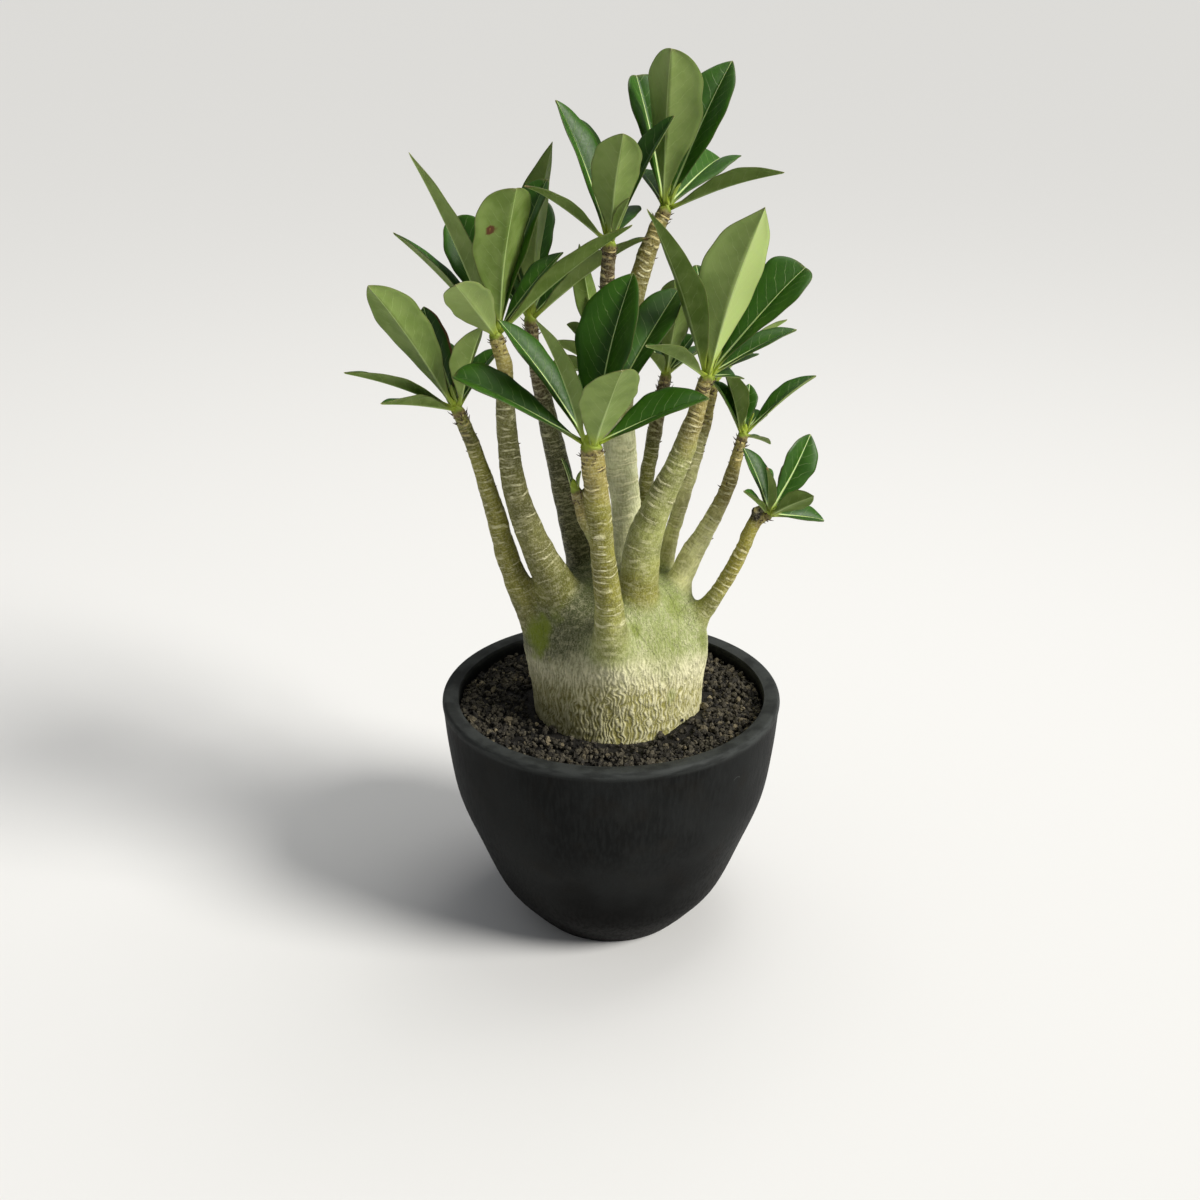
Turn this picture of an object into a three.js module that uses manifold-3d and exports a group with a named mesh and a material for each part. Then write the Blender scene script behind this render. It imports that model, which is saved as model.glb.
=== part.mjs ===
// A potted desert rose (adenium): a smooth bowl pot filled with grit, a swollen caudex that carries a dozen
// branches, and a head of leathery leaves on the tip of each branch.
//
// Millimetres, +Z up. The origin is the centre of the pot's flat base, and -Y is the front.
import * as THREE from 'three';
import { mergeVertices } from 'three/addons/utils/BufferGeometryUtils.js';
import Module from 'manifold-3d';

const wasm = await Module();
wasm.setup();

// ---------------------------------------------------------------------------------------------
// Driving dimensions
// ---------------------------------------------------------------------------------------------

const CLEARANCE = 0.3; // between pieces that touch

// The pot. A profile is a list of [radius, height] points.
const POT_HEIGHT = 133.3;
const POT_RIM_RADIUS = 90;
const POT_MOUTH_RADIUS = 81.4;
const POT_FOOT_RADIUS = 40;
const POT_FLOOR = 5;
const POT_FLOOR_RADIUS = 32; // of the flat inside, before it curves up into the wall
const POT_HEEL = [38, POT_FLOOR + 2];
const POT_SIDES = 40; // the soil has as many, so that its gap to the pot is even
const POT_OUTSIDE = [
  [41.8, 0.8], [52, 12], [62.7, 26.7], [73.6, 53.3], [83.3, 80], [87.6, 106.6], [89.4, 126],
];
const POT_OUTSIDE_STEPS = 6;
const POT_LIP = [
  [POT_RIM_RADIUS, POT_HEIGHT - 2.8], [89.2, POT_HEIGHT - 0.6], [87.6, POT_HEIGHT],
  [82.6, POT_HEIGHT - 0.5], [POT_MOUTH_RADIUS, POT_HEIGHT - 2.3],
];
const POT_INSIDE = [[POT_MOUTH_RADIUS, 118], [81, 104], [78, 80], [68.4, 53.3], [57, 28], [46, 14]];
const POT_INSIDE_STEPS = 3;
const DRAIN_HOLES = 5;
const DRAIN_RADIUS = 4.5;
const DRAIN_CIRCLE_RADIUS = 24;
const DRAIN_SIDES = 10;

// The soil.
const SOIL_LEVEL = 126;
const SOIL_RINGS = [80.8, 75, 69, 63, 57, 51, 45]; // radii at which the grit's surface rises and falls
const SOIL_WALL_GAP = 1.3 * CLEARANCE; // measured level, to the pot's sloping wall
const GRIT_RELIEF = 1.0; // how far the grit stands above or below the soil level
const GRIT_SEED = 11;

// The caudex.
const CAUDEX_CENTRE = { x: 3.4, y: 1.5 };
const CAUDEX_SIDES = 28;
const CAUDEX_SHOULDER = [[0, 203], [16, 200.5], [30, 193], [40, 180], [45.5, 167], [46.5, 156], [45.5, 142]];
const ROOT_PROFILE = [[44.5, SOIL_LEVEL], [43, 112], [38, 98], [28, 87], [14, 81], [0, 79]]; // buried
const SWELL_START = SOIL_LEVEL + 8;
const SWELL_FULL = SOIL_LEVEL + 40;
const SWELL_BY_FOUR = 0.025; // of the radius, four swells round the caudex
const SWELL_BY_SEVEN = 0.015; // and seven smaller ones

// The branches.
const BRANCH_SIDES = 8;
const BRANCH_STEPS = 2; // rings to each span of a branch

// The growing tips, which are fresh green and carry the leaves.
const TIP_LENGTH = 9;
const TIP_FULL_RADIUS = 3.3; // a thinner branch has a shorter tip
const TIP_SIDES = 6;
const HEART_HEIGHT = 0.6; // of the tip's length, where the midribs of its leaves would meet
const ROOT_OUT = 0.35; // of the branch's radius, from the heart out to a leaf's root
const ROOT_DROP = 0.2; // of the tip's length, from the heart down to the root of a level leaf
const ROOT_CLIMB = 0.25; // of the tip's length, by which an upright leaf's root stands higher

// The leaves.
const BLADE_EDGE = 0.6; // thickness at the margin
const BLADE_MIDRIB = 1.0; // thickness along the midrib
const BLADE_FOLD = 0.22; // rise of the margin over its distance from the midrib
const BLADE_ARCH = 0.05; // rise of the midrib's middle over the leaf's length
const BLADE_WAVE = 0.9; // height of the wave along the margin
const WAVE_LEFT = 15; // radians of wave along the left margin
const WAVE_RIGHT = 14;
const BLADE_TAPER = 1.15; // towards the root
const BLADE_BLUNTNESS = 0.62; // of the tip
const BLADE_STATIONS = [0, 0.17, 0.36, 0.55, 0.72, 0.89, 1];
const LAST_WIDE_PLACE = 0.994; // the outline is followed no further, so the tip isn't a point
const PETIOLE_WIDTH = 2.4;
const PETIOLE_THICKNESS = 1.6;
const PETIOLE_EDGE = 0.96;
const PETIOLE_END = 0.05; // of the leaf's length, where the blade begins
const BLADE_FULL = 0.3; // of the leaf's length, where the blade has its full form
const SKYWARD = 0.2; // how far the upper side turns from the branch's line to the sky

const WELD = 1e-3; // points closer than this are one

const UP = new THREE.Vector3(0, 0, 1);
const LATHE_AXIS = new THREE.Vector3(0, 1, 0);

const point = (x, y, z) => new THREE.Vector3(x, y, z);
const profilePoint = ([radius, height]) => new THREE.Vector2(radius, height);

// ---------------------------------------------------------------------------------------------
// The branches. Each is a line of points up the middle of the branch, [x, y, z, radius].
// The first point lies inside the caudex, and the last is where the brown bark ends.
// ---------------------------------------------------------------------------------------------

const BRANCHES = {
  far_left: [
    [-27, -3, 156, 13], [-43, -8, 186, 7.2], [-53, -10, 215, 5.7], [-58, -11, 237, 5.1],
    [-63, -12, 257, 4.1], [-70, -13, 280, 3.6], [-74, -14, 291, 3.3],
  ],
  left_front: [
    [-17, -5, 168, 16], [-26, -12, 196, 10.3], [-36, -14, 217, 8.1], [-48, -16, 255, 6],
    [-51, -18, 294, 4.7], [-51, -19, 316, 3.8], [-54, -20, 329, 3.5],
  ],
  left_back: [
    [-8, 14, 170, 15], [-14, 17, 195, 9], [-21, 19, 224, 6.7], [-30, 21, 266, 5.5],
    [-34, 22, 286, 4.6], [-39, 23, 313, 3.7], [-40, 23, 326, 3.5],
  ],
  front: [
    [3, -26, 160, 14], [0, -40, 177, 9.5], [-1, -46, 203, 7], [-4, -50, 231, 6],
    [-7, -56, 266, 5.9], [-9, -59, 287, 5.3],
  ],
  trunk: [
    [5, 0, 176, 18], [7, 2, 207, 10.4], [8, 2, 231, 7.6], [5, 2, 259, 8.2], [4, 2, 276, 7.6],
    [3, 2, 292, 5.5],
  ],
  crown_left: [[4, 2, 270, 6], [1, 1, 300, 5], [-2, -1, 329, 4], [-2, -4, 352, 3.5], [-1, -6, 370, 3.4]],
  crown_top: [[4, 2, 270, 7], [6, 3, 312, 5.6], [12, 7, 346, 4.9], [18, 10, 366, 4.4], [25, 14, 382, 3.5]],
  crown_back: [[5, 3, 258, 5], [3, 12, 278, 4.2], [-1, 24, 290, 3.6], [-3, 30, 298, 3.4]],
  back: [[8, 22, 170, 12], [14, 30, 204, 5.3], [18, 34, 236, 4], [23, 38, 266, 3.8], [28, 40, 293, 3.1]],
  right_front: [
    [9, -14, 170, 17], [14, -21, 205, 10.2], [16, -23, 227, 9], [24, -24, 250, 7], [33, -24, 270, 5.8],
    [41, -24, 295, 4.3], [45, -24, 310, 3.4],
  ],
  right_back: [
    [20, 14, 166, 13], [28, 18, 199, 5.4], [33, 19, 220, 4], [42, 20, 252, 3.6], [48, 21, 275, 3.3],
    [51, 22, 293, 3.1],
  ],
  right: [
    [22, -2, 166, 14], [33, -1, 191, 7.3], [42, 1, 212, 5.8], [51, 3, 228, 4.5], [60, 6, 248, 3.7],
    [66, 8, 271, 2.8],
  ],
  stub: [
    [30, -7, 155, 13], [42, -10, 175, 6.2], [52, -12, 191, 4.4], [60, -14, 206, 3.8], [68, -17, 226, 3.4],
    [73, -18, 242, 2.4],
  ],
  far_right: [[68, -17, 229, 2.4], [72, -18, 236, 2.5], [77, -18, 239, 2.4]],
  bud: [[-5, -51, 238, 3.2], [-12, -54, 249, 3.2], [-16, -54, 264, 2.8]],
};

// ---------------------------------------------------------------------------------------------
// The leaf heads. A leaf runs from the head to the point (x, y, z), measured from the head, and is
// so wide. Its upper side faces along the branch, then the blade is twisted by so many degrees,
// anticlockwise as seen from its root.
// ---------------------------------------------------------------------------------------------

const leaf = (x, y, z, width, twist) => ({ reach: point(x, y, z), width, twist });

const LEAVES = {
  far_left: [
    leaf(-35, -22, 64, 26, -5), leaf(-15, 16, 44, 20, 15), leaf(-48, -28, 24, 16, -10),
    leaf(-31, -34, 10, 16, -12), leaf(15, -12, 41, 20, 18), leaf(20, 22, 21, 14, 0),
    leaf(-12, 38, 20, 16, 0), leaf(3, 34, 8, 15, 0),
  ],
  left_front: [
    leaf(-35, -10, 83, 16, -17), leaf(-47, 14, 43, 14, -16), leaf(-18, 26, 48, 20, -5),
    leaf(-15, -48, 32, 26, 0), leaf(13, -16, 68, 28, 25), leaf(25, 18, 67, 26, -10),
    leaf(32, 24, 32, 14, 0), leaf(65, -12, 51, 18, 25), leaf(1, 44, 38, 20, 0), leaf(-20, 40, 8, 18, 0),
  ],
  left_back: [
    leaf(58, -18, 43, 20, 18), leaf(25, 14, 19, 16, 0), leaf(11, -8, 85, 26, 0),
    leaf(-13, 30, 36, 18, 0), leaf(4, 34, 50, 20, 0), leaf(-22, 22, 17, 16, 0), leaf(14, 42, 17, 17, 0),
    leaf(-8, 52, 2, 18, 0),
  ],
  front: [
    leaf(-63, 10, 28, 25, 0), leaf(-43, 20, 51, 18, -5), leaf(-23, -8, 59, 16, -30),
    leaf(13, -38, 44, 27, 0), leaf(55, 12, 17, 26, 0), leaf(19, 22, 73, 31, 0), leaf(42, 56, 57, 22, 0),
    leaf(2, 36, 24, 16, 0),
  ],
  crown_left: [
    leaf(-25, 14, 60, 20, 0), leaf(-16, 32, 50, 17, -15), leaf(6, -24, 50, 22, 0), leaf(30, 6, 54, 22, -5),
    leaf(-38, -22, 28, 14, -18), leaf(-4, 38, 26, 16, 0), leaf(9, 42, 6, 16, 0), leaf(9, -12, 20, 7, 0),
  ],
  crown_top: [
    leaf(2, -18, 72, 32, 0), leaf(-16, 14, 57, 26, 30), leaf(30, 20, 64, 21, 10), leaf(28, 50, 15, 27, 0),
    leaf(54, -12, 17, 18, 10), leaf(-9, 22, 36, 14, 0), leaf(3, 42, 36, 18, 0), leaf(-14, 44, 10, 18, 0),
  ],
  crown_back: [
    leaf(-12, 18, 58, 12, -35), leaf(-12, 18, 30, 20, 0), leaf(-18, 2, 21, 14, 20),
    leaf(-27, -16, 17, 12, 15), leaf(-26, 6, -3, 14, -25), leaf(8, 32, 24, 17, 0),
  ],
  back: [
    leaf(5, -22, 41, 16, 0), leaf(14, 10, 15, 13, 0), leaf(22, 22, 6, 13, 12), leaf(-11, -10, 12, 11, 3),
    leaf(3, -13, 50, 19, 10), leaf(-16, 32, 16, 16, 0), leaf(4, 40, 18, 16, 0),
  ],
  right_front: [
    leaf(-29, -16, 80, 20, -20), leaf(22, -18, 80, 29, 0), leaf(45, 14, 47, 25, 0), leaf(43, 18, 15, 15, 0),
    leaf(24, 29, 1, 14, 5), leaf(15, 22, -9, 12, -15), leaf(-31, -38, 23, 14, -18), leaf(8, 36, 27, 18, 0),
    leaf(-4, 34, 22, 16, 0),
  ],
  right_back: [
    leaf(-9, 22, 53, 18, 0), leaf(29, 16, 51, 20, 0), leaf(38, 26, 25, 11, 40), leaf(14, 34, 15, 16, 0),
    leaf(-6, -12, 28, 12, 0),
  ],
  right: [
    leaf(-16, 3, 25, 13, 25), leaf(-11, -4, 33, 14, -10), leaf(36, 14, 25, 15, 0), leaf(15, 14, -12, 6, 0),
    leaf(11, 22, 3, 9, 0), leaf(3, 14, 20, 11, 0), leaf(-6, 32, 8, 12, 0),
  ],
  far_right: [
    leaf(-15, 14, 29, 15, 3), leaf(-4, -6, 26, 12, 0), leaf(19, 18, 35, 17, -5),
    leaf(17, -20, 16, 14, 0), leaf(27, 8, -7, 13, 0), leaf(-16, -10, 15, 9, -10), leaf(12, 30, 14, 13, 0),
  ],
  bud: [leaf(-4, 0, 13, 6, 0), leaf(3, -3, 9, 4, 0)],
};

// ---------------------------------------------------------------------------------------------
// Solids: closed geometries joined and cut by booleans
// ---------------------------------------------------------------------------------------------

// The geometry with its positions only, and each point once.
function welded(geometry) {
  const bare = geometry.clone();
  bare.deleteAttribute('normal');
  bare.deleteAttribute('uv');
  return mergeVertices(bare, WELD);
}

function toSolid(geometry) {
  const whole = welded(geometry);
  return new wasm.Manifold(new wasm.Mesh({
    numProp: 3,
    vertProperties: whole.attributes.position.array,
    triVerts: new Uint32Array(whole.index.array),
  }));
}

function toGeometry(solid) {
  const mesh = solid.getMesh();
  const geometry = new THREE.BufferGeometry();
  geometry.setAttribute('position', new THREE.BufferAttribute(mesh.vertProperties, 3));
  geometry.setIndex(new THREE.BufferAttribute(mesh.triVerts, 1));
  geometry.computeVertexNormals();
  return geometry;
}

function join(geometries) {
  return toGeometry(geometries.map(toSolid).reduce((whole, piece) => whole.add(piece)));
}

function cut(geometry, cutters) {
  const blank = toSolid(geometry);
  return toGeometry(cutters.map(toSolid).reduce((whole, cutter) => whole.subtract(cutter), blank));
}

// A profile of [radius, height] points turned about the Z axis.
function turned(profile, sides) {
  const geometry = new THREE.LatheGeometry(profile.map(profilePoint), sides);
  return geometry.rotateX(Math.PI / 2);
}

// A solid through rings of points that all run the same way round. The ring's faces are split so that the
// two faces of a thin blade, which lie either side of the ring's middle, have the same diagonals.
function lofted(rings) {
  const count = rings[0].length;
  const positions = rings.flatMap((ring) => ring.flatMap((corner) => corner.toArray()));
  const faces = [];
  for (let station = 0; station < rings.length - 1; station += 1) {
    for (let corner = 0; corner < count; corner += 1) {
      const a = station * count + corner;
      const b = station * count + ((corner + 1) % count);
      const aNext = a + count;
      const bNext = b + count;
      if (corner < count / 2) faces.push(a, b, bNext, a, bNext, aNext);
      else faces.push(a, b, aNext, b, bNext, aNext);
    }
  }
  const last = (rings.length - 1) * count;
  for (let low = 0, high = count - 1; low + 1 < high; low += 1, high -= 1) {
    faces.push(low, high, low + 1);
    faces.push(last + low, last + low + 1, last + high);
    if (low + 1 < high - 1) {
      faces.push(low + 1, high, high - 1);
      faces.push(last + low + 1, last + high - 1, last + high);
    }
  }
  const geometry = new THREE.BufferGeometry();
  geometry.setAttribute('position', new THREE.Float32BufferAttribute(positions, 3));
  geometry.setIndex(faces);
  return geometry;
}

// The part of a direction that stands square to an axis.
function squareTo(axis, direction) {
  return direction.clone().addScaledVector(axis, -direction.dot(axis)).normalize();
}

// ---------------------------------------------------------------------------------------------
// The pot
// ---------------------------------------------------------------------------------------------

// Points along a smooth line through a profile.
function smoothed(profile, steps) {
  const line = new THREE.SplineCurve(profile.map(profilePoint));
  return line.getPoints(steps).map((corner) => corner.toArray());
}

const potInsideWall = smoothed(POT_INSIDE, POT_INSIDE_STEPS);

function pot() {
  const profile = [
    [0, 0],
    [POT_FOOT_RADIUS, 0],
    ...smoothed(POT_OUTSIDE, POT_OUTSIDE_STEPS),
    ...POT_LIP,
    ...potInsideWall,
    POT_HEEL,
    [POT_FLOOR_RADIUS, POT_FLOOR],
    [0, POT_FLOOR],
  ];
  const drains = [];
  for (let hole = 0; hole < DRAIN_HOLES; hole += 1) {
    const angle = (2 * Math.PI * (hole + 0.5)) / DRAIN_HOLES;
    const drain = new THREE.CylinderGeometry(DRAIN_RADIUS, DRAIN_RADIUS, 3 * POT_FLOOR, DRAIN_SIDES);
    drain.rotateX(Math.PI / 2);
    drain.translate(DRAIN_CIRCLE_RADIUS * Math.cos(angle), DRAIN_CIRCLE_RADIUS * Math.sin(angle), 0);
    drains.push(drain);
  }
  return cut(turned(profile, POT_SIDES), drains);
}

// ---------------------------------------------------------------------------------------------
// The soil, with the plain hole that the root end stands in
// ---------------------------------------------------------------------------------------------

// The same numbers between 0 and 1 on every run.
function seededRandom(seed) {
  let state = seed;
  return () => {
    state = (state * 16807) % 2147483647;
    return state / 2147483647;
  };
}

function soil() {
  const wall = potInsideWall.toReversed();
  const blank = welded(turned([
    [0, POT_FLOOR + CLEARANCE],
    [POT_FLOOR_RADIUS - 0.5 * CLEARANCE, POT_FLOOR + CLEARANCE],
    [POT_HEEL[0] - CLEARANCE, POT_HEEL[1] + CLEARANCE],
    ...wall.map(([radius, height]) => [radius - SOIL_WALL_GAP, height + CLEARANCE]),
    ...SOIL_RINGS.map((radius) => [radius, SOIL_LEVEL]),
    [0, SOIL_LEVEL],
  ], POT_SIDES));
  const random = seededRandom(GRIT_SEED);
  const position = blank.attributes.position;
  for (let i = 0; i < position.count; i += 1) {
    if (Math.abs(position.getZ(i) - SOIL_LEVEL) > WELD) continue;
    position.setZ(i, SOIL_LEVEL + GRIT_RELIEF * (2 * random() - 1));
  }
  const buried = ROOT_PROFILE.toReversed();
  const mouth = ROOT_PROFILE[0][0] + CLEARANCE;
  const above = SOIL_LEVEL + 3 * GRIT_RELIEF;
  const hole = turned([
    [0, buried[0][1] - CLEARANCE],
    ...buried.slice(1, -1).map(([radius, height]) => [radius + CLEARANCE, height - CLEARANCE]),
    [mouth, SOIL_LEVEL],
    [mouth, above],
    [0, above],
  ], CAUDEX_SIDES);
  return cut(blank, [hole.translate(CAUDEX_CENTRE.x, CAUDEX_CENTRE.y, 0)]);
}

// ---------------------------------------------------------------------------------------------
// The plant body: the caudex and every branch, grown as one
// ---------------------------------------------------------------------------------------------

function caudex() {
  const geometry = turned([...CAUDEX_SHOULDER, ...ROOT_PROFILE].reverse(), CAUDEX_SIDES);
  const position = geometry.attributes.position;
  for (let i = 0; i < position.count; i += 1) {
    // Above the soil the caudex bulges a little under its left, right and front branches.
    const rise = THREE.MathUtils.smoothstep(position.getZ(i), SWELL_START, SWELL_FULL);
    const angle = Math.atan2(position.getY(i), position.getX(i));
    const swell = 1 + rise * (SWELL_BY_FOUR * Math.cos(4 * angle) + SWELL_BY_SEVEN * Math.sin(7 * angle));
    position.setX(i, position.getX(i) * swell);
    position.setY(i, position.getY(i) * swell);
  }
  return geometry.translate(CAUDEX_CENTRE.x, CAUDEX_CENTRE.y, 0);
}

function centreLine(branch) {
  return new THREE.CatmullRomCurve3(branch.map(([x, y, z]) => point(x, y, z)), false, 'centripetal');
}

function branchTube(branch) {
  const line = centreLine(branch);
  const spans = branch.length - 1;
  const steps = BRANCH_STEPS * spans;
  const rings = [];
  for (let step = 0; step <= steps; step += 1) {
    const along = step / BRANCH_STEPS;
    const span = Math.min(Math.floor(along), spans - 1);
    const radius = THREE.MathUtils.lerp(branch[span][3], branch[span + 1][3], along - span);
    const centre = line.getPoint(step / steps);
    const forward = line.getTangent(step / steps);
    const side = squareTo(forward, point(1, 0, 0));
    const across = forward.clone().cross(side);
    const ring = [];
    for (let corner = 0; corner < BRANCH_SIDES; corner += 1) {
      const angle = (2 * Math.PI * corner) / BRANCH_SIDES;
      ring.push(centre.clone()
        .addScaledVector(side, radius * Math.cos(angle))
        .addScaledVector(across, radius * Math.sin(angle)));
    }
    rings.push(ring);
  }
  return lofted(rings);
}

function plantBody() {
  return join([caudex(), ...Object.values(BRANCHES).map(branchTube)]);
}

// ---------------------------------------------------------------------------------------------
// The leaf heads
// ---------------------------------------------------------------------------------------------

// Half the blade's width at a place along it, as a share of the widest: long taper, blunt tip.
function outline(along) {
  const form = (place) => (place ** BLADE_TAPER) * ((1 - place) ** BLADE_BLUNTNESS);
  return form(along) / form(BLADE_TAPER / (BLADE_TAPER + BLADE_BLUNTNESS));
}

// One leaf from its root to its tip: a leathery blade folded along its midrib, with a wavy margin.
function leafBlade({ root, tip, upper, width, arch, phase }) {
  const bend = root.clone().lerp(tip, 0.5).addScaledVector(upper, 2 * arch);
  const midrib = new THREE.QuadraticBezierCurve3(root, bend, tip);
  const rings = BLADE_STATIONS.map((along) => {
    const centre = midrib.getPoint(along);
    const forward = midrib.getTangent(along);
    const normal = squareTo(forward, upper);
    const side = forward.clone().cross(normal);
    const petiole = 1 - THREE.MathUtils.smoothstep(along, PETIOLE_END, BLADE_FULL);
    const bladeHalf = 0.5 * width * outline(Math.min(along, LAST_WIDE_PLACE));
    const half = Math.max(bladeHalf, 0.5 * PETIOLE_WIDTH * (1 - 0.5 * along));
    const thick = THREE.MathUtils.lerp(BLADE_MIDRIB, PETIOLE_THICKNESS, petiole);
    const edge = THREE.MathUtils.lerp(BLADE_EDGE, PETIOLE_EDGE, petiole);
    const wave = BLADE_WAVE * Math.min((2 * half) / width, 1) * (1 - petiole);
    const corner = (across, rise) => (
      centre.clone().addScaledVector(side, across).addScaledVector(normal, rise)
    );
    const riseLeft = BLADE_FOLD * half + wave * Math.sin(WAVE_LEFT * along + phase);
    const riseRight = BLADE_FOLD * half + wave * Math.sin(WAVE_RIGHT * along + 2 * phase);
    return [
      corner(-half, riseLeft + edge / 2),
      corner(0, thick / 2),
      corner(half, riseRight + edge / 2),
      corner(half, riseRight - edge / 2),
      corner(0, -thick / 2),
      corner(-half, riseLeft - edge / 2),
    ];
  });
  return lofted(rings);
}

function growingTip(radius, length) {
  const profile = [
    [0, 0], [radius, 0], [1.05 * radius, 0.3 * length], [0.5 * radius, 0.92 * length], [0, length],
  ];
  return new THREE.LatheGeometry(profile.map(profilePoint), TIP_SIDES);
}

// A head stands on the end of its branch. The steeper a leaf stands, the higher on the tip it grows.
function leafHead(branch, leaves) {
  const line = centreLine(branch);
  const axis = line.getTangent(1);
  const foot = line.getPoint(1).addScaledVector(axis, CLEARANCE);
  const radius = branch.at(-1)[3];
  const length = TIP_LENGTH * Math.min(1, radius / TIP_FULL_RADIUS);
  const heart = foot.clone().addScaledVector(axis, HEART_HEIGHT * length);
  const stalk = growingTip(radius, length);
  stalk.applyQuaternion(new THREE.Quaternion().setFromUnitVectors(LATHE_AXIS, axis));
  stalk.translate(foot.x, foot.y, foot.z);
  const blades = leaves.map(({ reach, width, twist }, index) => {
    const direction = reach.clone().normalize();
    const steep = Math.max(0, direction.dot(axis));
    const root = heart.clone()
      .addScaledVector(squareTo(axis, direction), ROOT_OUT * radius)
      .addScaledVector(axis, length * (ROOT_CLIMB * steep - ROOT_DROP));
    const upper = squareTo(direction, axis.clone().lerp(UP, SKYWARD));
    return leafBlade({
      root,
      tip: heart.clone().add(reach),
      upper: upper.applyAxisAngle(direction, -THREE.MathUtils.degToRad(twist)),
      width,
      arch: BLADE_ARCH * reach.length(),
      phase: index,
    });
  });
  return join([stalk, ...blades]);
}

// ---------------------------------------------------------------------------------------------
// Finishes and the whole
// ---------------------------------------------------------------------------------------------

const FINISHES = {
  pot: new THREE.MeshStandardMaterial({ color: 0x24272a, roughness: 0.55, metalness: 0 }),
  soil: new THREE.MeshStandardMaterial({ color: 0x2b231d, roughness: 0.95, metalness: 0 }),
  bark: new THREE.MeshStandardMaterial({ color: 0x9a9468, roughness: 0.75, metalness: 0 }),
  leaf: new THREE.MeshStandardMaterial({ color: 0x4c6b34, roughness: 0.5, metalness: 0 }),
};

const plant = new THREE.Group();

function place(name, geometry, finish) {
  const mesh = new THREE.Mesh(geometry, finish);
  mesh.name = name;
  plant.add(mesh);
}

place('pot', pot(), FINISHES.pot);
place('soil', soil(), FINISHES.soil);
place('plant_body', plantBody(), FINISHES.bark);
for (const [name, leaves] of Object.entries(LEAVES)) {
  place(`leaves_${name}`, leafHead(BRANCHES[name], leaves), FINISHES.leaf);
}

export default plant;
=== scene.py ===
"""A potted desert rose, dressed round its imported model.

A smooth charcoal bowl holds dark grit. A swollen caudex stands in it and forks into upright branches, and
each branch ends in a head of leathery leaves. Sizes are millimetres until a mesh is made, and meshes are in
metres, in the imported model's own frame: +Z up, -Y to the front, the origin under the middle of the pot.
"""

import logging
from dataclasses import dataclass, field
from enum import Enum

import bpy
import numpy as np
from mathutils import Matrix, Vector


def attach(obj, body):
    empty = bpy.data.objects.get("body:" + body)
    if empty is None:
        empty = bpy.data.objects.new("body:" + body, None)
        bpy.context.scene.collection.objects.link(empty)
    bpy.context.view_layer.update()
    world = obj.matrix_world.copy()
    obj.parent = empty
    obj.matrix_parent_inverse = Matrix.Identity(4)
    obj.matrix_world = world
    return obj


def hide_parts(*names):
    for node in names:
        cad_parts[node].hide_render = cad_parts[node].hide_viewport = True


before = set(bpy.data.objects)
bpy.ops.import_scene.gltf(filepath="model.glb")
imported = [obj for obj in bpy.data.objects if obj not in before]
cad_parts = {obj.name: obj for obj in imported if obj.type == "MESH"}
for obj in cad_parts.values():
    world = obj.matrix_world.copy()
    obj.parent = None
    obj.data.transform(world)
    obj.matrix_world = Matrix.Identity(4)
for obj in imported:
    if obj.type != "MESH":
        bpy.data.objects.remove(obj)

MM = 0.001
FAR = 1000.0
INSIDE_LAST = 1.001
BODY = "root"
RIGHT, BACK, UP = np.eye(3)
GOLDEN_ANGLE = np.pi * (3.0 - np.sqrt(5.0))

Array = np.ndarray
Faces = list[list[int]]
Span = tuple[float, float]
Point = tuple[float, float, float]
Colour = tuple[float, float, float]
Piece = bpy.types.Object
Material = bpy.types.Material
Tree = bpy.types.NodeTree
Node = bpy.types.Node
Socket = bpy.types.NodeSocket

log = logging.getLogger("potted_desert_rose")


# ---- Numbers, curves and meshes


def placed(name: str, data: bpy.types.ID) -> Piece:
    """Puts a mesh, a light or a camera into the scene."""
    made = bpy.data.objects.new(name, data)
    bpy.context.scene.collection.objects.link(made)
    return made


def smoothstep(value: Array, low: float, high: float) -> Array:
    """Eases from 0 at low to 1 at high: three shares squared less two shares cubed."""
    share = np.clip((value - low) / (high - low), 0.0, 1.0)
    return share * share * (3.0 - 2.0 * share)


def unit(vectors: Array) -> Array:
    """Each vector, at a length of one."""
    return vectors / np.linalg.norm(vectors, axis=-1, keepdims=True)


def square_to(axis: Array, direction: Array) -> Array:
    """The part of each direction that stands square to its axis, at a length of one."""
    return unit(direction - np.sum(direction * axis, axis=-1, keepdims=True) * axis)


def sides_of(axis: Array, hint: Array = RIGHT) -> tuple[Array, Array]:
    """Two directions square to each axis and to each other, the first of them nearest the hint."""
    side = square_to(axis, hint)
    return side, np.cross(axis, side)


def even_turns(count: int, shift: float = 0.0) -> Array:
    """So many even steps of a whole turn, in radians."""
    return 2.0 * np.pi * (np.arange(count) + shift) / count


def around(turn: Array, side: Array, across: Array) -> Array:
    """The direction at each turn, by the cosine along one side and the sine along the other."""
    return np.cos(turn)[..., None] * side + np.sin(turn)[..., None] * across


def cubic(start: Array, end: Array, leave: Array, arrive: Array, share: Array) -> Array:
    """The cubic from start to end that leaves and arrives with those slopes.

    Args:
        start: Its value where the share is 0.
        end: Its value where the share is 1.
        leave: Its slope at the start.
        arrive: Its slope at the end.
        share: Places from 0 to 1.

    Returns:
        Its value at each place.
    """
    return (
        start
        + leave * share
        + (3.0 * (end - start) - 2.0 * leave - arrive) * share**2
        + (2.0 * (start - end) + leave + arrive) * share**3
    )


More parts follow.
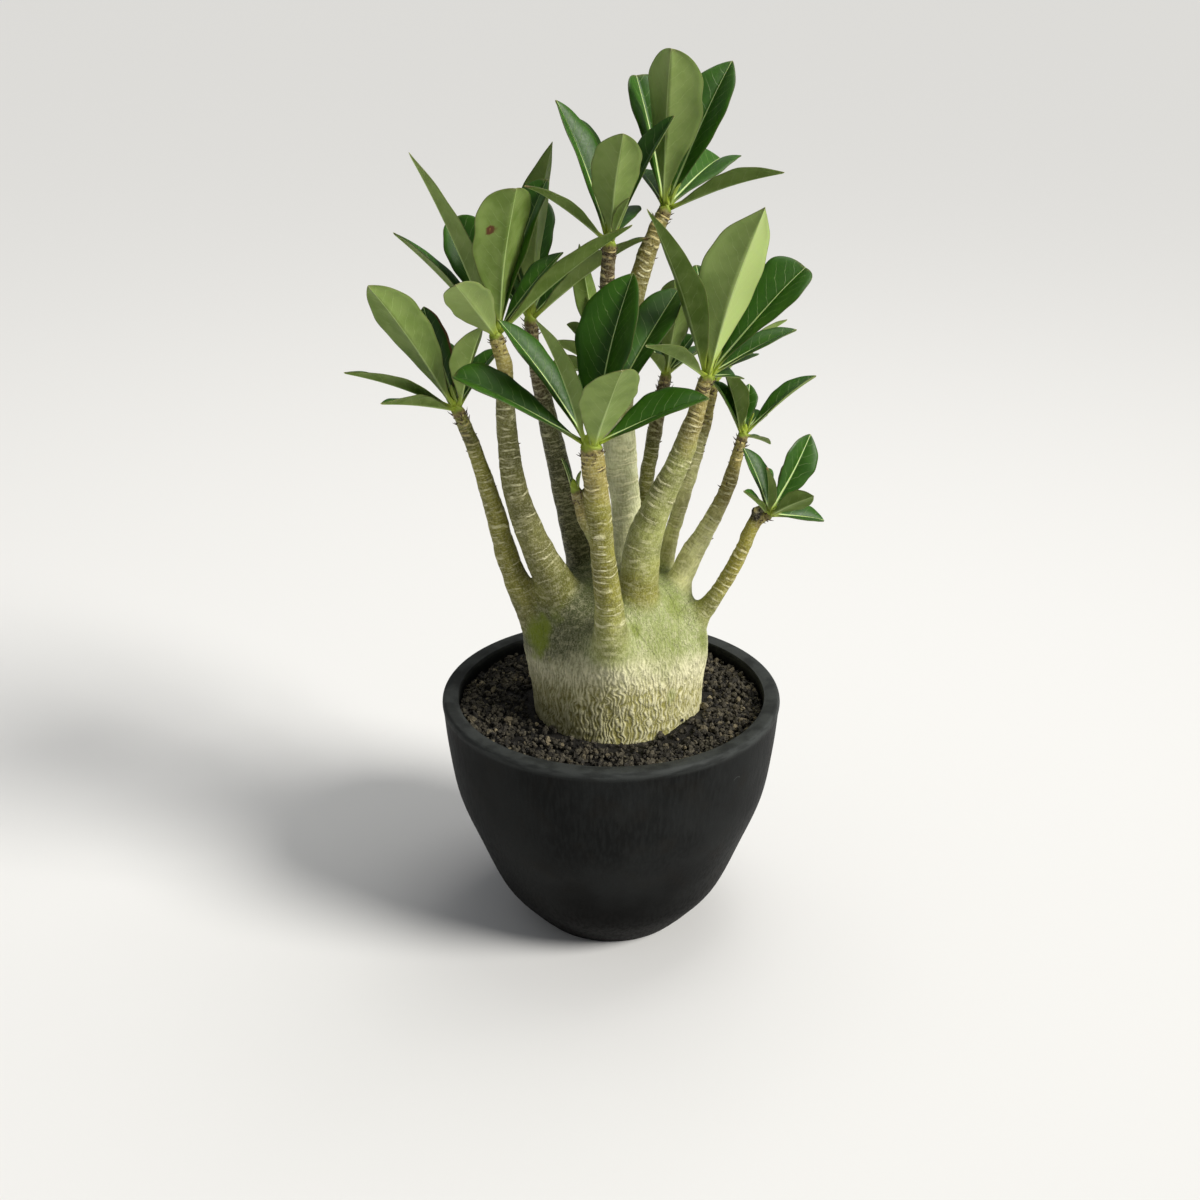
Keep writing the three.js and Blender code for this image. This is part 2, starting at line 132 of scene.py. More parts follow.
@dataclass(frozen=True)
class SolidNoise:
    """Smooth noise in space: seeded numbers on a lattice, read with eased weights between them."""

    seed: int
    size: float
    table: int = 24

    def at(self, points: Array) -> Array:
        """Reads the noise.

        Args:
            points: Places in millimetres, with x, y and z last.

        Returns:
            One number for each place, from -1 to 1.
        """
        numbers = np.random.default_rng(self.seed).uniform(-1.0, 1.0, (self.table,) * 3)
        place = points / self.size
        base = np.floor(place).astype(int)
        share = smoothstep(place - base, 0.0, 1.0)
        total = np.zeros(points.shape[:-1])
        for corner in np.ndindex(2, 2, 2):
            weight = np.prod(np.where(corner, share, 1.0 - share), axis=-1)
            x, y, z = np.moveaxis((base + corner) % self.table, -1, 0)
            total += weight * numbers[x, y, z]
        return total


def smooth_profile(points: list[Span], steps: int) -> Array:
    """Rounds a profile off with a uniform Catmull-Rom curve through its points.

    Between two points the curve is the cubic that starts and ends there, with half the step between each
    one's neighbours as its slope.

    Args:
        points: The profile's (radius, height) points.
        steps: How many steps each span gets.

    Returns:
        The rounded profile, one row to a point.
    """
    known = np.array([points[0], *points, points[-1]], float)
    share = (np.arange(steps) / steps)[:, None]
    rows = [
        cubic(start, end, (end - before) / 2.0, (after - start) / 2.0, share)
        for before, start, end, after in zip(known, known[1:], known[2:], known[3:])
    ]
    return np.vstack([*rows, known[-1:]])


@dataclass
class Surface:
    """A mesh that is being worked out.

    Attributes:
        corners: One row of millimetres for each corner.
        faces: The corners of each face, anticlockwise from outside.
        marks: Values kept at each corner for the finishes, by name.
        finish: Which of its piece's finishes the faces wear.
    """

    corners: Array
    faces: Faces
    marks: dict[str, Array] = field(default_factory=dict)
    finish: int = 0

    @staticmethod
    def joined(parts: list["Surface"]) -> tuple["Surface", list[int]]:
        """Puts surfaces into one mesh.

        Args:
            parts: The surfaces, all with marks of the same names.

        Returns:
            The whole, and the finish of each of its faces.
        """
        starts = np.cumsum([0] + [len(part.corners) for part in parts[:-1]])
        faces = [
            [int(corner + start) for corner in face]
            for part, start in zip(parts, starts)
            for face in part.faces
        ]
        marks = {
            name: np.concatenate([part.marks[name] for part in parts]) for name in parts[0].marks
        }
        finishes = [part.finish for part in parts for _ in part.faces]
        return Surface(np.vstack([part.corners for part in parts]), faces, marks), finishes

    def as_piece(
        self,
        name: str,
        slot: str,
        finishes: list[Material],
        finish_of: list[int] | None = None,
        smooth: bool = True,
    ) -> Piece:
        """Makes the surface a piece of the object.

        Args:
            name: The piece's name.
            slot: The name of a material slot; not used.
            finishes: The materials that it wears.
            finish_of: Which of them each face wears, or None for the first all over.
            smooth: Whether its faces are shaded as one curved surface.

        Returns:
            The piece, riding on the plant's only body.
        """
        mesh = bpy.data.meshes.new(name)
        mesh.from_pydata(self.corners * MM, [], self.faces)
        for mark, values in self.marks.items():
            kind, key = ("FLOAT", "value") if values.ndim == 1 else ("FLOAT_VECTOR", "vector")
            layer = mesh.attributes.new(mark, kind, "POINT")
            layer.data.foreach_set(key, values.astype(np.float32).ravel())
        for finish in finishes:
            mesh.materials.append(finish)
        if finish_of is not None:
            mesh.polygons.foreach_set("material_index", finish_of)
        mesh.polygons.foreach_set("use_smooth", [smooth] * len(self.faces))
        mesh.update()
        piece = placed(name, mesh)
        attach(piece, BODY)
        log.info("%s: %d faces", name, len(self.faces))
        return piece


def tubes(rings: Array) -> tuple[Array, Faces]:
    """Joins rings into closed tubes.

    Args:
        rings: Places by tube, ring and step round the ring, anticlockwise as seen from the last ring.

    Returns:
        The corners, tube by tube, and the faces. A fan to the middle of each end ring closes the tube.
    """
    count, stations, around, _ = rings.shape
    ends = rings[:, [0, -1]].mean(axis=2)
    corners = np.concatenate([rings.reshape(count, -1, 3), ends], axis=1)
    size = stations * around + 2
    here = np.arange(around)
    onward = (here + 1) % around
    row = np.arange(stations - 1)[:, None] * around
    sides = np.stack([row + here, row + onward, row + around + onward, row + around + here], axis=-1)
    last = (stations - 1) * around
    foot = np.stack([onward, here, np.full(around, size - 2)], axis=-1)
    head = np.stack([last + here, last + onward, np.full(around, size - 1)], axis=-1)
    start = (np.arange(count) * size)[:, None, None]
    quads = (sides.reshape(1, -1, 4) + start).reshape(-1, 4)
    fans = (np.vstack([foot, head])[None] + start).reshape(-1, 3)
    return corners.reshape(-1, 3), quads.tolist() + fans.tolist()


def turned(profile: Array, sides: int, middle: Array | None = None) -> tuple[Array, Faces]:
    """Turns a profile about the vertical.

    Args:
        profile: (radius, height) rows, from the lower end on the axis round to the other end on it.
        sides: How many steps go round.
        middle: The (x, y) of the axis at each row, or None for the origin.

    Returns:
        The corners and the faces. The profile's first and last rows are the poles.
    """
    angle = even_turns(sides)
    inner = profile[1:-1]
    ring = np.stack([np.cos(angle), np.sin(angle)], axis=-1)
    level = inner[:, :1, None] * ring[None]
    if middle is not None:
        level = level + middle[1:-1, None]
    height = np.broadcast_to(inner[:, 1, None, None], (len(inner), sides, 1))
    corners, faces = tubes(np.concatenate([level, height], axis=-1)[None])
    corners[-2, 2], corners[-1, 2] = profile[0, 1], profile[-1, 1]
    return corners, faces


# ---- Node trees


@dataclass(frozen=True)
class Graph:
    """A node tree with short calls for the nodes that the finishes use."""

    tree: Tree

    def node(self, kind: str, **settings: object) -> Node:
        """Adds a node of that kind, with those settings.

        Args:
            kind: The type of the node.
            settings: Its properties, by name.

        Returns:
            The node.
        """
        made = self.tree.nodes.new(kind)
        for name, value in settings.items():
            setattr(made, name, value)
        return made

    def fed(self, kind: str, *sources: object, **settings: object) -> Node:
        """Adds a node of that kind, with those settings and its first inputs fed in turn.

        Args:
            kind: The type of the node.
            sources: What its first inputs get: links or fixed values.
            settings: Its properties, by name.

        Returns:
            The node.
        """
        made = self.node(kind, **settings)
        for socket, source in zip(made.inputs, sources):
            self.feed(socket, source)
        return made

    def feed(self, socket: Socket, source: object) -> None:
        """Gives a socket a link, if the source is one, and otherwise a fixed value.

        Args:
            socket: The input.
            source: A link, a number or a colour.
        """
        if isinstance(source, Socket):
            self.tree.links.new(source, socket)
        elif isinstance(source, tuple) and socket.type == "RGBA":
            socket.default_value = (*source, 1.0)
        else:
            socket.default_value = source

    def named(self, made: Node, **sources: object) -> Node:
        """Feeds a node's inputs by name.

        Args:
            made: The node.
            sources: What each input gets, by its name, where an underscore stands for a space.

        Returns:
            The same node.
        """
        for name, source in sources.items():
            self.feed(made.inputs[name.replace("_", " ")], source)
        return made

    def math(self, operation: str, first: object, second: object = 0.0, clamp: bool = False) -> Socket:
        """One step of arithmetic on two numbers."""
        return self.fed("ShaderNodeMath", first, second, operation=operation, use_clamp=clamp).outputs[0]

    def times(self, first: object, second: object, clamp: bool = False) -> Socket:
        """One number multiplied by another."""
        return self.math("MULTIPLY", first, second, clamp)

    def stretch(self, vector: Socket, by: Point) -> Socket:
        """A vector with each of its parts multiplied."""
        return self.fed("ShaderNodeVectorMath", vector, by, operation="MULTIPLY").outputs[0]

    def mix(self, share: object, first: object, second: object, blend: str = "MIX") -> Socket:
        """A blend from the first colour to the second."""
        made = self.node("ShaderNodeMix", data_type="RGBA", blend_type=blend)
        return self.named(made, Factor=share, A=first, B=second).outputs["Result"]

    def tinted(self, share: object, first: object, second: object) -> Socket:
        """The first colour multiplied by the second, by that share."""
        return self.mix(share, first, second, "MULTIPLY")

    def ease(self, value: object, low: object, high: object, start: float = 0.0, end: float = 1.0) -> Socket:
        """Eases from start where the value is low to end where it is high."""
        made = self.node("ShaderNodeMapRange", interpolation_type="SMOOTHSTEP")
        self.named(made, Value=value, From_Min=low, From_Max=high, To_Min=start, To_Max=end)
        return made.outputs["Result"]

    def noise(self, vector: Socket, scale: object, detail: object) -> Node:
        """A noise texture."""
        return self.named(self.node("ShaderNodeTexNoise"), Vector=vector, Scale=scale, Detail=detail)

    def mark(self, name: str, output: str = "Vector") -> Socket:
        """Reads a mark of the piece."""
        node = self.node("ShaderNodeAttribute", attribute_type="GEOMETRY", attribute_name=name)
        return node.outputs[output]

    def parts(self, vector: Socket) -> tuple[Socket, ...]:
        """A vector's three parts."""
        return tuple(self.fed("ShaderNodeSeparateXYZ", vector).outputs)

    def object_mm(self) -> Socket:
        """The place on the object, in millimetres."""
        return self.stretch(self.node("ShaderNodeTexCoord").outputs["Object"], (1.0 / MM,) * 3)

    def group(self, tree: Tree, **inputs: object) -> Socket:
        """Places a node group, with its inputs by name, and gives its output."""
        return self.named(self.node("ShaderNodeGroup", node_tree=tree), **inputs).outputs[0]

    def bump(
        self, height: Socket, depth: float, strength: float = 1.0, under: Socket | None = None
    ) -> Socket:
        """A bumped normal.

        Args:
            height: The relief, 0 to 1.
            depth: How deep a step from 0 to 1 is, in millimetres.
            strength: How much of it counts.
            under: The normal of a coarser relief that this one lies on.

        Returns:
            The normal.
        """
        lower = {} if under is None else {"Normal": under}
        made = self.node("ShaderNodeBump")
        return self.named(made, Strength=strength, Distance=depth * MM, Height=height, **lower).outputs[0]


def new_group(name: str, output: str, **numbers: float) -> tuple[Graph, dict[str, Socket], Socket]:
    """Starts a shader node group that makes a mask from a place and some numbers.

    Args:
        name: The group's name.
        output: The name of its mask.
        numbers: The usual value of each number that it takes, by name.

    Returns:
        The group's tree, what it is given, by name, and the socket that its mask feeds.
    """
    tree = bpy.data.node_groups.new(name, "ShaderNodeTree")
    tree.interface.new_socket("Place", in_out="INPUT", socket_type="NodeSocketVector")
    for label, value in numbers.items():
        socket = tree.interface.new_socket(label, in_out="INPUT", socket_type="NodeSocketFloat")
        socket.default_value = value
    tree.interface.new_socket(output, in_out="OUTPUT", socket_type="NodeSocketFloat")
    given = tree.nodes.new("NodeGroupInput").outputs
    return Graph(tree), dict(given.items()), tree.nodes.new("NodeGroupOutput").inputs[output]


@dataclass(frozen=True)
class Effects:
    """The node groups that several finishes share."""

    mottle: Tree
    wrinkles: Tree

    @staticmethod
    def build() -> "Effects":
        """Builds each group once."""
        return Effects(Effects.mottling(), Effects.wrinkling())

    @staticmethod
    def mottling() -> Tree:
        """Soft blotches: noise at a size in millimetres, eased between two levels.

        Returns:
            The group.
        """
        graph, given, mask = new_group("mottle", "Mask", Size=5.0, Detail=3.0, Low=0.4, High=0.6)
        scale = graph.math("DIVIDE", 1.0, given["Size"])
        noise = graph.noise(given["Place"], scale, given["Detail"])
        graph.feed(mask, graph.ease(noise.outputs[0], given["Low"], given["High"]))
        return graph.tree

    @staticmethod
    def wrinkling() -> Tree:
        """A net of wavy ridges: the edges between cells, after noise has shifted the place.

        Returns:
            The group.
        """
        graph, given, ridge = new_group("wrinkles", "Ridge", Size=2.5, Waviness=1.0, Width=0.3)
        wander = graph.noise(given["Place"], 0.4, 2.0).outputs["Color"]
        waved = graph.fed(
            "ShaderNodeVectorMath", wander, given["Waviness"], given["Place"], operation="MULTIPLY_ADD"
        )
        cells = graph.node("ShaderNodeTexVoronoi", feature="DISTANCE_TO_EDGE")
        graph.named(cells, Vector=waved.outputs[0], Scale=graph.math("DIVIDE", 1.0, given["Size"]))
        graph.feed(ridge, graph.ease(cells.outputs["Distance"], 0.0, given["Width"], start=1.0, end=0.0))
        return graph.tree

    def blotches(
        self, graph: Graph, place: Socket, size: float, low: float, high: float, detail: float = 3.0
    ) -> Socket:
        """A mask of soft blotches of a size in millimetres, from 0 at the low level to 1 at the high one."""
        return graph.group(self.mottle, Place=place, Size=size, Detail=detail, Low=low, High=high)


def new_material(name: str) -> tuple[Material, Graph, Node]:
    """Starts a material.

    Args:
        name: The material's name.

    Returns:
        The material, its tree and its shader.
    """
    material = bpy.data.materials.new(name)
    material.use_nodes = True
    return material, Graph(material.node_tree), material.node_tree.nodes["Principled BSDF"]


# ---- Finishes


@dataclass(frozen=True)
class PotPlastic:
    """Charcoal plastic, faintly mottled, with a worn grey rim, one small scratch and painted shade low down.
    """

    charcoal: Colour = (0.0072, 0.0076, 0.0074)
    bloom: Colour = (0.022, 0.0235, 0.023)
    brown_film: Colour = (0.012, 0.0088, 0.0055)
    # The foot colour is painted shade on the lower pot.
    foot: Colour = (0.0012, 0.001, 0.0008)
    worn: Colour = (0.048, 0.052, 0.05)
    rim_bottom: float = 127.5
    rim_top: float = 132.2
    scratch_middle: Point = (63.0, -61.0, 112.0)
    scratch_radius: float = 3.2
    scratch_width: float = 0.35
    scratch_ends: Span = (1.6, 2.4)
    foot_heights: Span = (18.0, 80.0)
    shine: float = 0.04

    def material(self, effects: Effects) -> Material:
        """Builds the finish from the shared effects.

        Args:
            effects: The shared node groups.

        Returns:
            The material.
        """
        material, graph, shader = new_material("pot_plastic")
        place = graph.object_mm()
        height = graph.parts(place)[2]
        streaks = effects.blotches(graph, graph.stretch(place, (1.0, 1.0, 0.2)), 1.7, 0.35, 0.7)
        clouds = effects.blotches(graph, place, 38.0, 0.35, 0.65, 2.0)
        film = effects.blotches(graph, place, 16.0, 0.5, 0.75)
        colour = graph.mix(graph.times(streaks, 0.4), self.charcoal, self.bloom)
        colour = graph.mix(graph.times(clouds, 0.35), colour, self.bloom)
        colour = graph.mix(graph.times(film, 0.25), colour, self.brown_film)
        # Painted shade: the colour darkens to the foot colour towards the bottom, with a cloudy edge.
        above_painted_shade = graph.ease(graph.math("ADD", height, graph.times(clouds, 14.0)), *self.foot_heights)
        colour = graph.mix(above_painted_shade, self.foot, colour)
        rim = graph.ease(height, self.rim_bottom, self.rim_top)
        rubs = effects.blotches(graph, graph.stretch(place, (0.5, 0.5, 3.0)), 6.0, 0.3, 0.65)
        wear = graph.times(rim, graph.ease(rubs, 0.0, 1.0, start=0.45, end=1.0))
        colour = graph.mix(wear, colour, self.worn)
        colour = graph.mix(self.scratch(graph, place), colour, self.worn)
        fine = graph.bump(effects.blotches(graph, place, 0.9, 0.3, 0.7), 0.04, strength=0.5)
        rough = graph.ease(streaks, 0.0, 1.0, start=0.5, end=0.62)
        graph.named(shader, Base_Color=colour, Roughness=rough, Normal=fine)
        shader.inputs["Specular IOR Level"].default_value = self.shine
        return material

    def scratch(self, graph: Graph, place: Socket) -> Socket:
        """The scratch: near a circle about its middle, where the place is above the middle.

        Args:
            graph: The tree of the material.
            place: The place in millimetres.

        Returns:
            Its mask.
        """
        away = graph.fed("ShaderNodeVectorMath", place, self.scratch_middle, operation="SUBTRACT").outputs[0]
        reach = graph.fed("ShaderNodeVectorMath", away, operation="LENGTH").outputs["Value"]
        off_ring = graph.math("ABSOLUTE", graph.math("SUBTRACT", reach, self.scratch_radius))
        line = graph.ease(off_ring, 0.0, self.scratch_width, start=0.8, end=0.0)
        upper = graph.ease(graph.parts(away)[2], *self.scratch_ends)
        return graph.times(line, upper)


@dataclass(frozen=True)
class Grit:
    """Dark grains, each with a tone of its own, and a few tan ones."""

    dark: Colour = (0.006, 0.0045, 0.0028)
    mid: Colour = (0.142, 0.124, 0.082)
    tan: Colour = (0.24, 0.2, 0.12)

    def material(self, effects: Effects) -> Material:
        """Builds the finish from the shared effects.

        Args:
            effects: The shared node groups.

        Returns:
            The material.
        """
        material, graph, shader = new_material("grit")
        place = graph.object_mm()
        tone, tan, _ = graph.parts(graph.mark("grain_tone"))
        colour = graph.mix(tone, self.dark, self.mid)
        colour = graph.mix(tan, colour, self.tan)
        specks = effects.blotches(graph, place, 0.7, 0.4, 0.65, 2.0)
        colour = graph.tinted(graph.times(specks, 0.55), colour, (0.45, 0.42, 0.4))
        rough = graph.ease(specks, 0.0, 1.0, start=0.75, end=0.95)
        graph.named(shader, Base_Color=colour, Roughness=rough, Normal=graph.bump(specks, 0.25, strength=0.8))
        return material


@dataclass(frozen=True)
class Bark:
    """The plant's skin: toned by place, ringed with pale leaf scars, and wrinkled on the caudex, with painted
    light and shade.
    """

    ridge: Colour = (0.86, 0.82, 0.53)
    scar: Colour = (0.86, 0.82, 0.52)
    scar_at_tip: Colour = (0.7, 0.57, 0.24)
    green: Colour = (0.165, 0.215, 0.004)
    pit_shade: Colour = (0.05, 0.03, 0.015)
    ring_half: float = 0.3
    ring_fade: float = 0.68
    shine: float = 0.35

    def material(self, effects: Effects) -> Material:
        """Builds the finish from the shared effects.

        Args:
            effects: The shared node groups.

        Returns:
            The material.
        """
        material, graph, shader = new_material("bark")
        place = graph.object_mm()
        tone = graph.mark("bark_tone")
        stem = graph.mark("stem_place")
        tier, spacing, shown = graph.parts(graph.mark("scar_place"))
        near_tip, ridge, moss = graph.parts(graph.mark("bark_marks"))
        fine = graph.mark("bark_fine_sunward", "Fac")

        fibres = effects.blotches(graph, graph.stretch(stem, (1.0, 1.0, 0.45)), 1.0, 0.34, 0.66)
        flecks = effects.blotches(graph, place, 0.8, 0.42, 0.62, 2.0)
        blotches = effects.blotches(graph, place, 6.0, 0.35, 0.65)
        drawn_out = graph.stretch(place, (1.0, 1.0, 0.36))
        net = graph.group(effects.wrinkles, Place=drawn_out, Size=1.1, Waviness=1.3, Width=0.16)
        streaks = effects.blotches(graph, graph.stretch(place, (1.0, 1.0, 0.4)), 1.5, 0.4, 0.62)
        net = graph.times(graph.times(net, streaks), fine)
        patchy = effects.blotches(graph, graph.stretch(stem, (0.6, 0.6, 1.0)), 2.4, 0.38, 0.56)
        dense = effects.blotches(graph, graph.stretch(stem, (0.22, 0.22, 1.0)), 0.9, 0.5, 0.66)

        above_ring = graph.math("SUBTRACT", tier, graph.math("ROUND", tier))
        height = graph.times(above_ring, spacing)
        off_ring = graph.math("ABSOLUTE", height)
        ring = graph.ease(off_ring, self.ring_half, self.ring_fade, start=1.0, end=0.0)
        ring = graph.times(graph.times(ring, shown), graph.ease(patchy, 0.0, 1.0, start=0.2))
        ring = graph.times(ring, graph.ease(flecks, 0.0, 1.0, start=1.0, end=0.55))
        # Painted shadow: a darker line just below each scar ring, where the raised scar would shade the skin.
        under = graph.ease(graph.math("SUBTRACT", height, 1.0), 0.0, 0.75, start=1.0, end=0.0)
        under = graph.times(under, shown)
        under = graph.times(under, graph.ease(off_ring, self.ring_half, self.ring_fade))
        # Painted shade: dark pits just below some rings near the tips stand for small cavities.
        pit_shades = graph.times(graph.ease(blotches, 0.55, 0.8), near_tip)
        pit_shades = graph.times(pit_shades, under)

        colour = graph.tinted(graph.times(fibres, 0.55), tone, (0.5, 0.5, 0.38))
        colour = graph.tinted(graph.times(blotches, 0.4), colour, (0.66, 0.7, 0.48))
        # Painted shadow below the scar rings.
        colour = graph.tinted(graph.times(under, 0.45), colour, (0.5, 0.46, 0.34))
        specks = graph.times(graph.ease(flecks, 0.6, 0.95), 0.13)
        colour = graph.mix(specks, colour, self.scar)
        dense = graph.times(dense, graph.math("SUBTRACT", 0.2, graph.times(fine, 0.2)))
        colour = graph.mix(dense, colour, self.scar)
        # The pale net and ridges are the skin's own colour, shown more strongly on the caudex's sunward side
        # as painted light.
        colour = graph.mix(graph.times(net, 0.42), colour, self.ridge)
        colour = graph.mix(graph.times(ridge, 0.78), colour, self.ridge)
        scar = graph.mix(near_tip, self.scar, self.scar_at_tip)
        colour = graph.mix(graph.times(ring, 0.9), colour, scar)
        colour = graph.mix(graph.times(pit_shades, 0.9), colour, self.pit_shade)
        colour = graph.mix(moss, colour, self.green)
        rough = graph.ease(fibres, 0.0, 1.0, start=0.5, end=0.75)

        relief = graph.bump(graph.math("ADD", net, ridge), 0.3, strength=0.9)
        fuzz = graph.math("ADD", fibres, graph.times(flecks, 0.6))
        relief = graph.bump(fuzz, 0.16, strength=0.8, under=relief)
        relief = graph.bump(ring, 0.28, strength=0.9, under=relief)
        graph.named(shader, Base_Color=colour, Roughness=rough, Normal=relief)
        shader.inputs["Specular IOR Level"].default_value = self.shine
        return material


@dataclass(frozen=True)
class LeafSkin:
    """A leathery leaf: deep green above, pale olive below, with pale veins and a thin brown margin."""

    upper: Colour = (0.019, 0.072, 0.002)
    upper_pale_and_lit: Colour = (0.045, 0.135, 0.007)
    under: Colour = (0.1, 0.166, 0.019)
    under_pale_and_lit: Colour = (0.44, 0.55, 0.19)
    vein: Colour = (0.62, 0.76, 0.33)
    fresh: Colour = (0.3, 0.38, 0.028)
    dry: Colour = (0.09, 0.056, 0.026)
    red: Colour = (0.11, 0.042, 0.014)
    rust: Colour = (0.33, 0.17, 0.045)
    tan: Colour = (0.3, 0.23, 0.09)
    shine: float = 0.28
    glow: float = 0.3
    glow_spread: Colour = (0.6, 1.0, 0.2)
    glow_depth: float = 1.2

    def material(self, effects: Effects) -> Material:
        """Builds the finish from the shared effects.

        Args:
            effects: The shared node groups.

        Returns:
            The material.
        """
        material, graph, shader = new_material("leaf_skin")
        place = graph.object_mm()
        across, along, upper = graph.parts(graph.mark("blade_place"))
        phase, off_rib, off_margin = graph.parts(graph.mark("blade_lines"))
        fresh, dry, red = graph.parts(graph.mark("blade_marks"))
        shade = graph.mark("blade_shade", "Fac")

        soft = effects.blotches(graph, place, 9.0, 0.35, 0.65)
        fine = effects.blotches(graph, place, 1.3, 0.3, 0.7)
        above = graph.mix(graph.times(soft, 0.35), self.upper, self.upper_pale_and_lit)
        # Painted light: the shade mark lifts sunlit leaves, and one half of some, towards the pale colours;
        # it also holds each leaf's random paleness.
        above = graph.mix(graph.times(shade, 0.5, clamp=True), above, self.upper_pale_and_lit)
        below = graph.mix(graph.times(soft, 0.18), self.under, self.under_pale_and_lit)
        below = graph.mix(graph.times(shade, 0.8, clamp=True), below, self.under_pale_and_lit)

        rib_width = graph.ease(along, 0.0, 1.0, start=1.2, end=0.3)
        rib = graph.ease(graph.math("DIVIDE", off_rib, rib_width), 0.26, 0.62, start=1.0, end=0.0)
        bent = graph.math("ADD", phase, graph.times(graph.math("SUBTRACT", soft, 0.5), 0.3))
        wave = graph.math("ABSOLUTE", graph.math("SUBTRACT", graph.math("FRACT", bent), 0.5))
        side_vein = graph.ease(wave, 0.0, 0.05, start=1.0, end=0.0)
        fading = graph.ease(graph.math("ABSOLUTE", across), 0.4, 0.92, start=1.0, end=0.0)
        faint = graph.times(fading, graph.ease(fine, 0.0, 1.0, start=1.0, end=0.5))
        side_vein = graph.times(side_vein, faint)

        above = graph.mix(graph.times(side_vein, 0.2), above, self.vein)
        above = graph.mix(graph.times(rib, 0.95), above, self.vein)
        below = graph.mix(graph.times(side_vein, 0.16), below, self.vein)
        below = graph.mix(graph.times(rib, 0.45), below, self.vein)
        colour = graph.mix(graph.ease(upper, 0.3, 0.7), below, above)
        margin = graph.ease(off_margin, 0.05, 0.4, start=0.4, end=0.0)
        colour = graph.mix(margin, colour, self.dry)
        colour = graph.mix(fresh, colour, self.fresh)
        colour = graph.mix(graph.ease(red, 0.0, 0.5), colour, self.red)
        colour = graph.mix(graph.ease(red, 0.86, 1.0), colour, self.rust)
        colour = graph.mix(dry, colour, graph.mix(graph.times(fine, 0.8), self.dry, self.tan))

        gloss = graph.ease(upper, 0.3, 0.7, start=0.58, end=0.4)
        rough = graph.math("ADD", gloss, graph.times(fine, 0.08))
        relief = graph.bump(graph.math("MAXIMUM", side_vein, rib), 0.1, strength=0.5)
        relief = graph.bump(fine, 0.05, strength=0.4, under=relief)
        graph.named(shader, Base_Color=colour, Roughness=rough, Normal=relief)
        shader.inputs["Specular IOR Level"].default_value = self.shine
        shader.inputs["Subsurface Weight"].default_value = self.glow
        shader.inputs["Subsurface Radius"].default_value = self.glow_spread
        shader.inputs["Subsurface Scale"].default_value = self.glow_depth * MM
        return material


@dataclass(frozen=True)
class DriedScale:
    """The dark brown of dried leaf bases."""

    brown: Colour = (0.05, 0.028, 0.014)
    grey: Colour = (0.15, 0.115, 0.07)

    def material(self, effects: Effects) -> Material:
        """Builds the finish from the shared effects.

        Args:
            effects: The shared node groups.

        Returns:
            The material.
        """
        material, graph, shader = new_material("dried_scale")
        blotches = effects.blotches(graph, graph.object_mm(), 1.2, 0.4, 0.7)
        rough = graph.ease(blotches, 0.0, 1.0, start=0.7, end=0.9)
        graph.named(shader, Base_Color=graph.mix(blotches, self.brown, self.grey), Roughness=rough)
        return material


# ---- The pot and the grit


@dataclass(frozen=True)
class Pot:
    """The bowl: a smooth wall on a flat foot, a thick rolled lip, and drain holes in the floor."""

    floor: float = 5.0
    outside: tuple = (
        (40.0, 0.0), (41.8, 0.8), (52.0, 12.0), (62.7, 26.7), (73.6, 53.3), (83.3, 80.0), (87.6, 106.6),
        (89.4, 126.0), (90.0, 130.5), (89.2, 132.7), (87.6, 133.3), (82.6, 132.8), (81.4, 131.0),
        (81.4, 118.0), (81.0, 104.0), (78.0, 80.0), (68.4, 53.3), (57.0, 28.0), (46.0, 14.0), (38.0, 7.0),
        (32.0, 5.0),
    )
    sides: int = 200
    steps: int = 6
    drain_holes: int = 5
    drain_radius: float = 4.5
    drain_circle: float = 24.0

    def build(self, finish: Material) -> Piece:
        """Turns the wall and cuts the drain holes.

        Args:
            finish: What the pot wears.

        Returns:
            The pot.
        """
        wall = smooth_profile(list(self.outside), self.steps)
        wall[:, 1] = np.maximum(wall[:, 1], 0.0)
        foot = [(radius, 0.0) for radius in (0.0, 10.0, 18.0, 30.5)]
        floor = [(radius, self.floor) for radius in (30.5, 18.0, 10.0, 0.0)]
        corners, faces = turned(np.vstack([foot, wall, floor]), self.sides)
        pot = Surface(corners, faces).as_piece("bowl", "pot_plastic", [finish])
        self.drain(pot)
        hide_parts("pot")
        return pot

    def drain(self, pot: Piece) -> None:
        """Cuts the drain holes through the floor with round pegs, which are then thrown away.

        Args:
            pot: The pot, which is changed.
        """
        middle = self.drain_circle * around(even_turns(self.drain_holes, 0.5), RIGHT, BACK)
        ring = self.drain_radius * around(even_turns(24), RIGHT, BACK)
        levels = np.array([-self.floor, 3.0 * self.floor])[None, :, None, None] * UP
        corners, faces = tubes(middle[:, None, None] + ring[None, None] + levels)
        mesh = bpy.data.meshes.new("pegs")
        mesh.from_pydata(corners * MM, [], faces)
        pegs = placed("pegs", mesh)
        cutter = pot.modifiers.new("drain", "BOOLEAN")
        cutter.operation = "DIFFERENCE"
        cutter.object = pegs
        cutter.solver = "EXACT"
        graph = bpy.context.evaluated_depsgraph_get()
        pot.data = bpy.data.meshes.new_from_object(pot.evaluated_get(graph))
        pot.modifiers.clear()
        bpy.data.objects.remove(pegs)


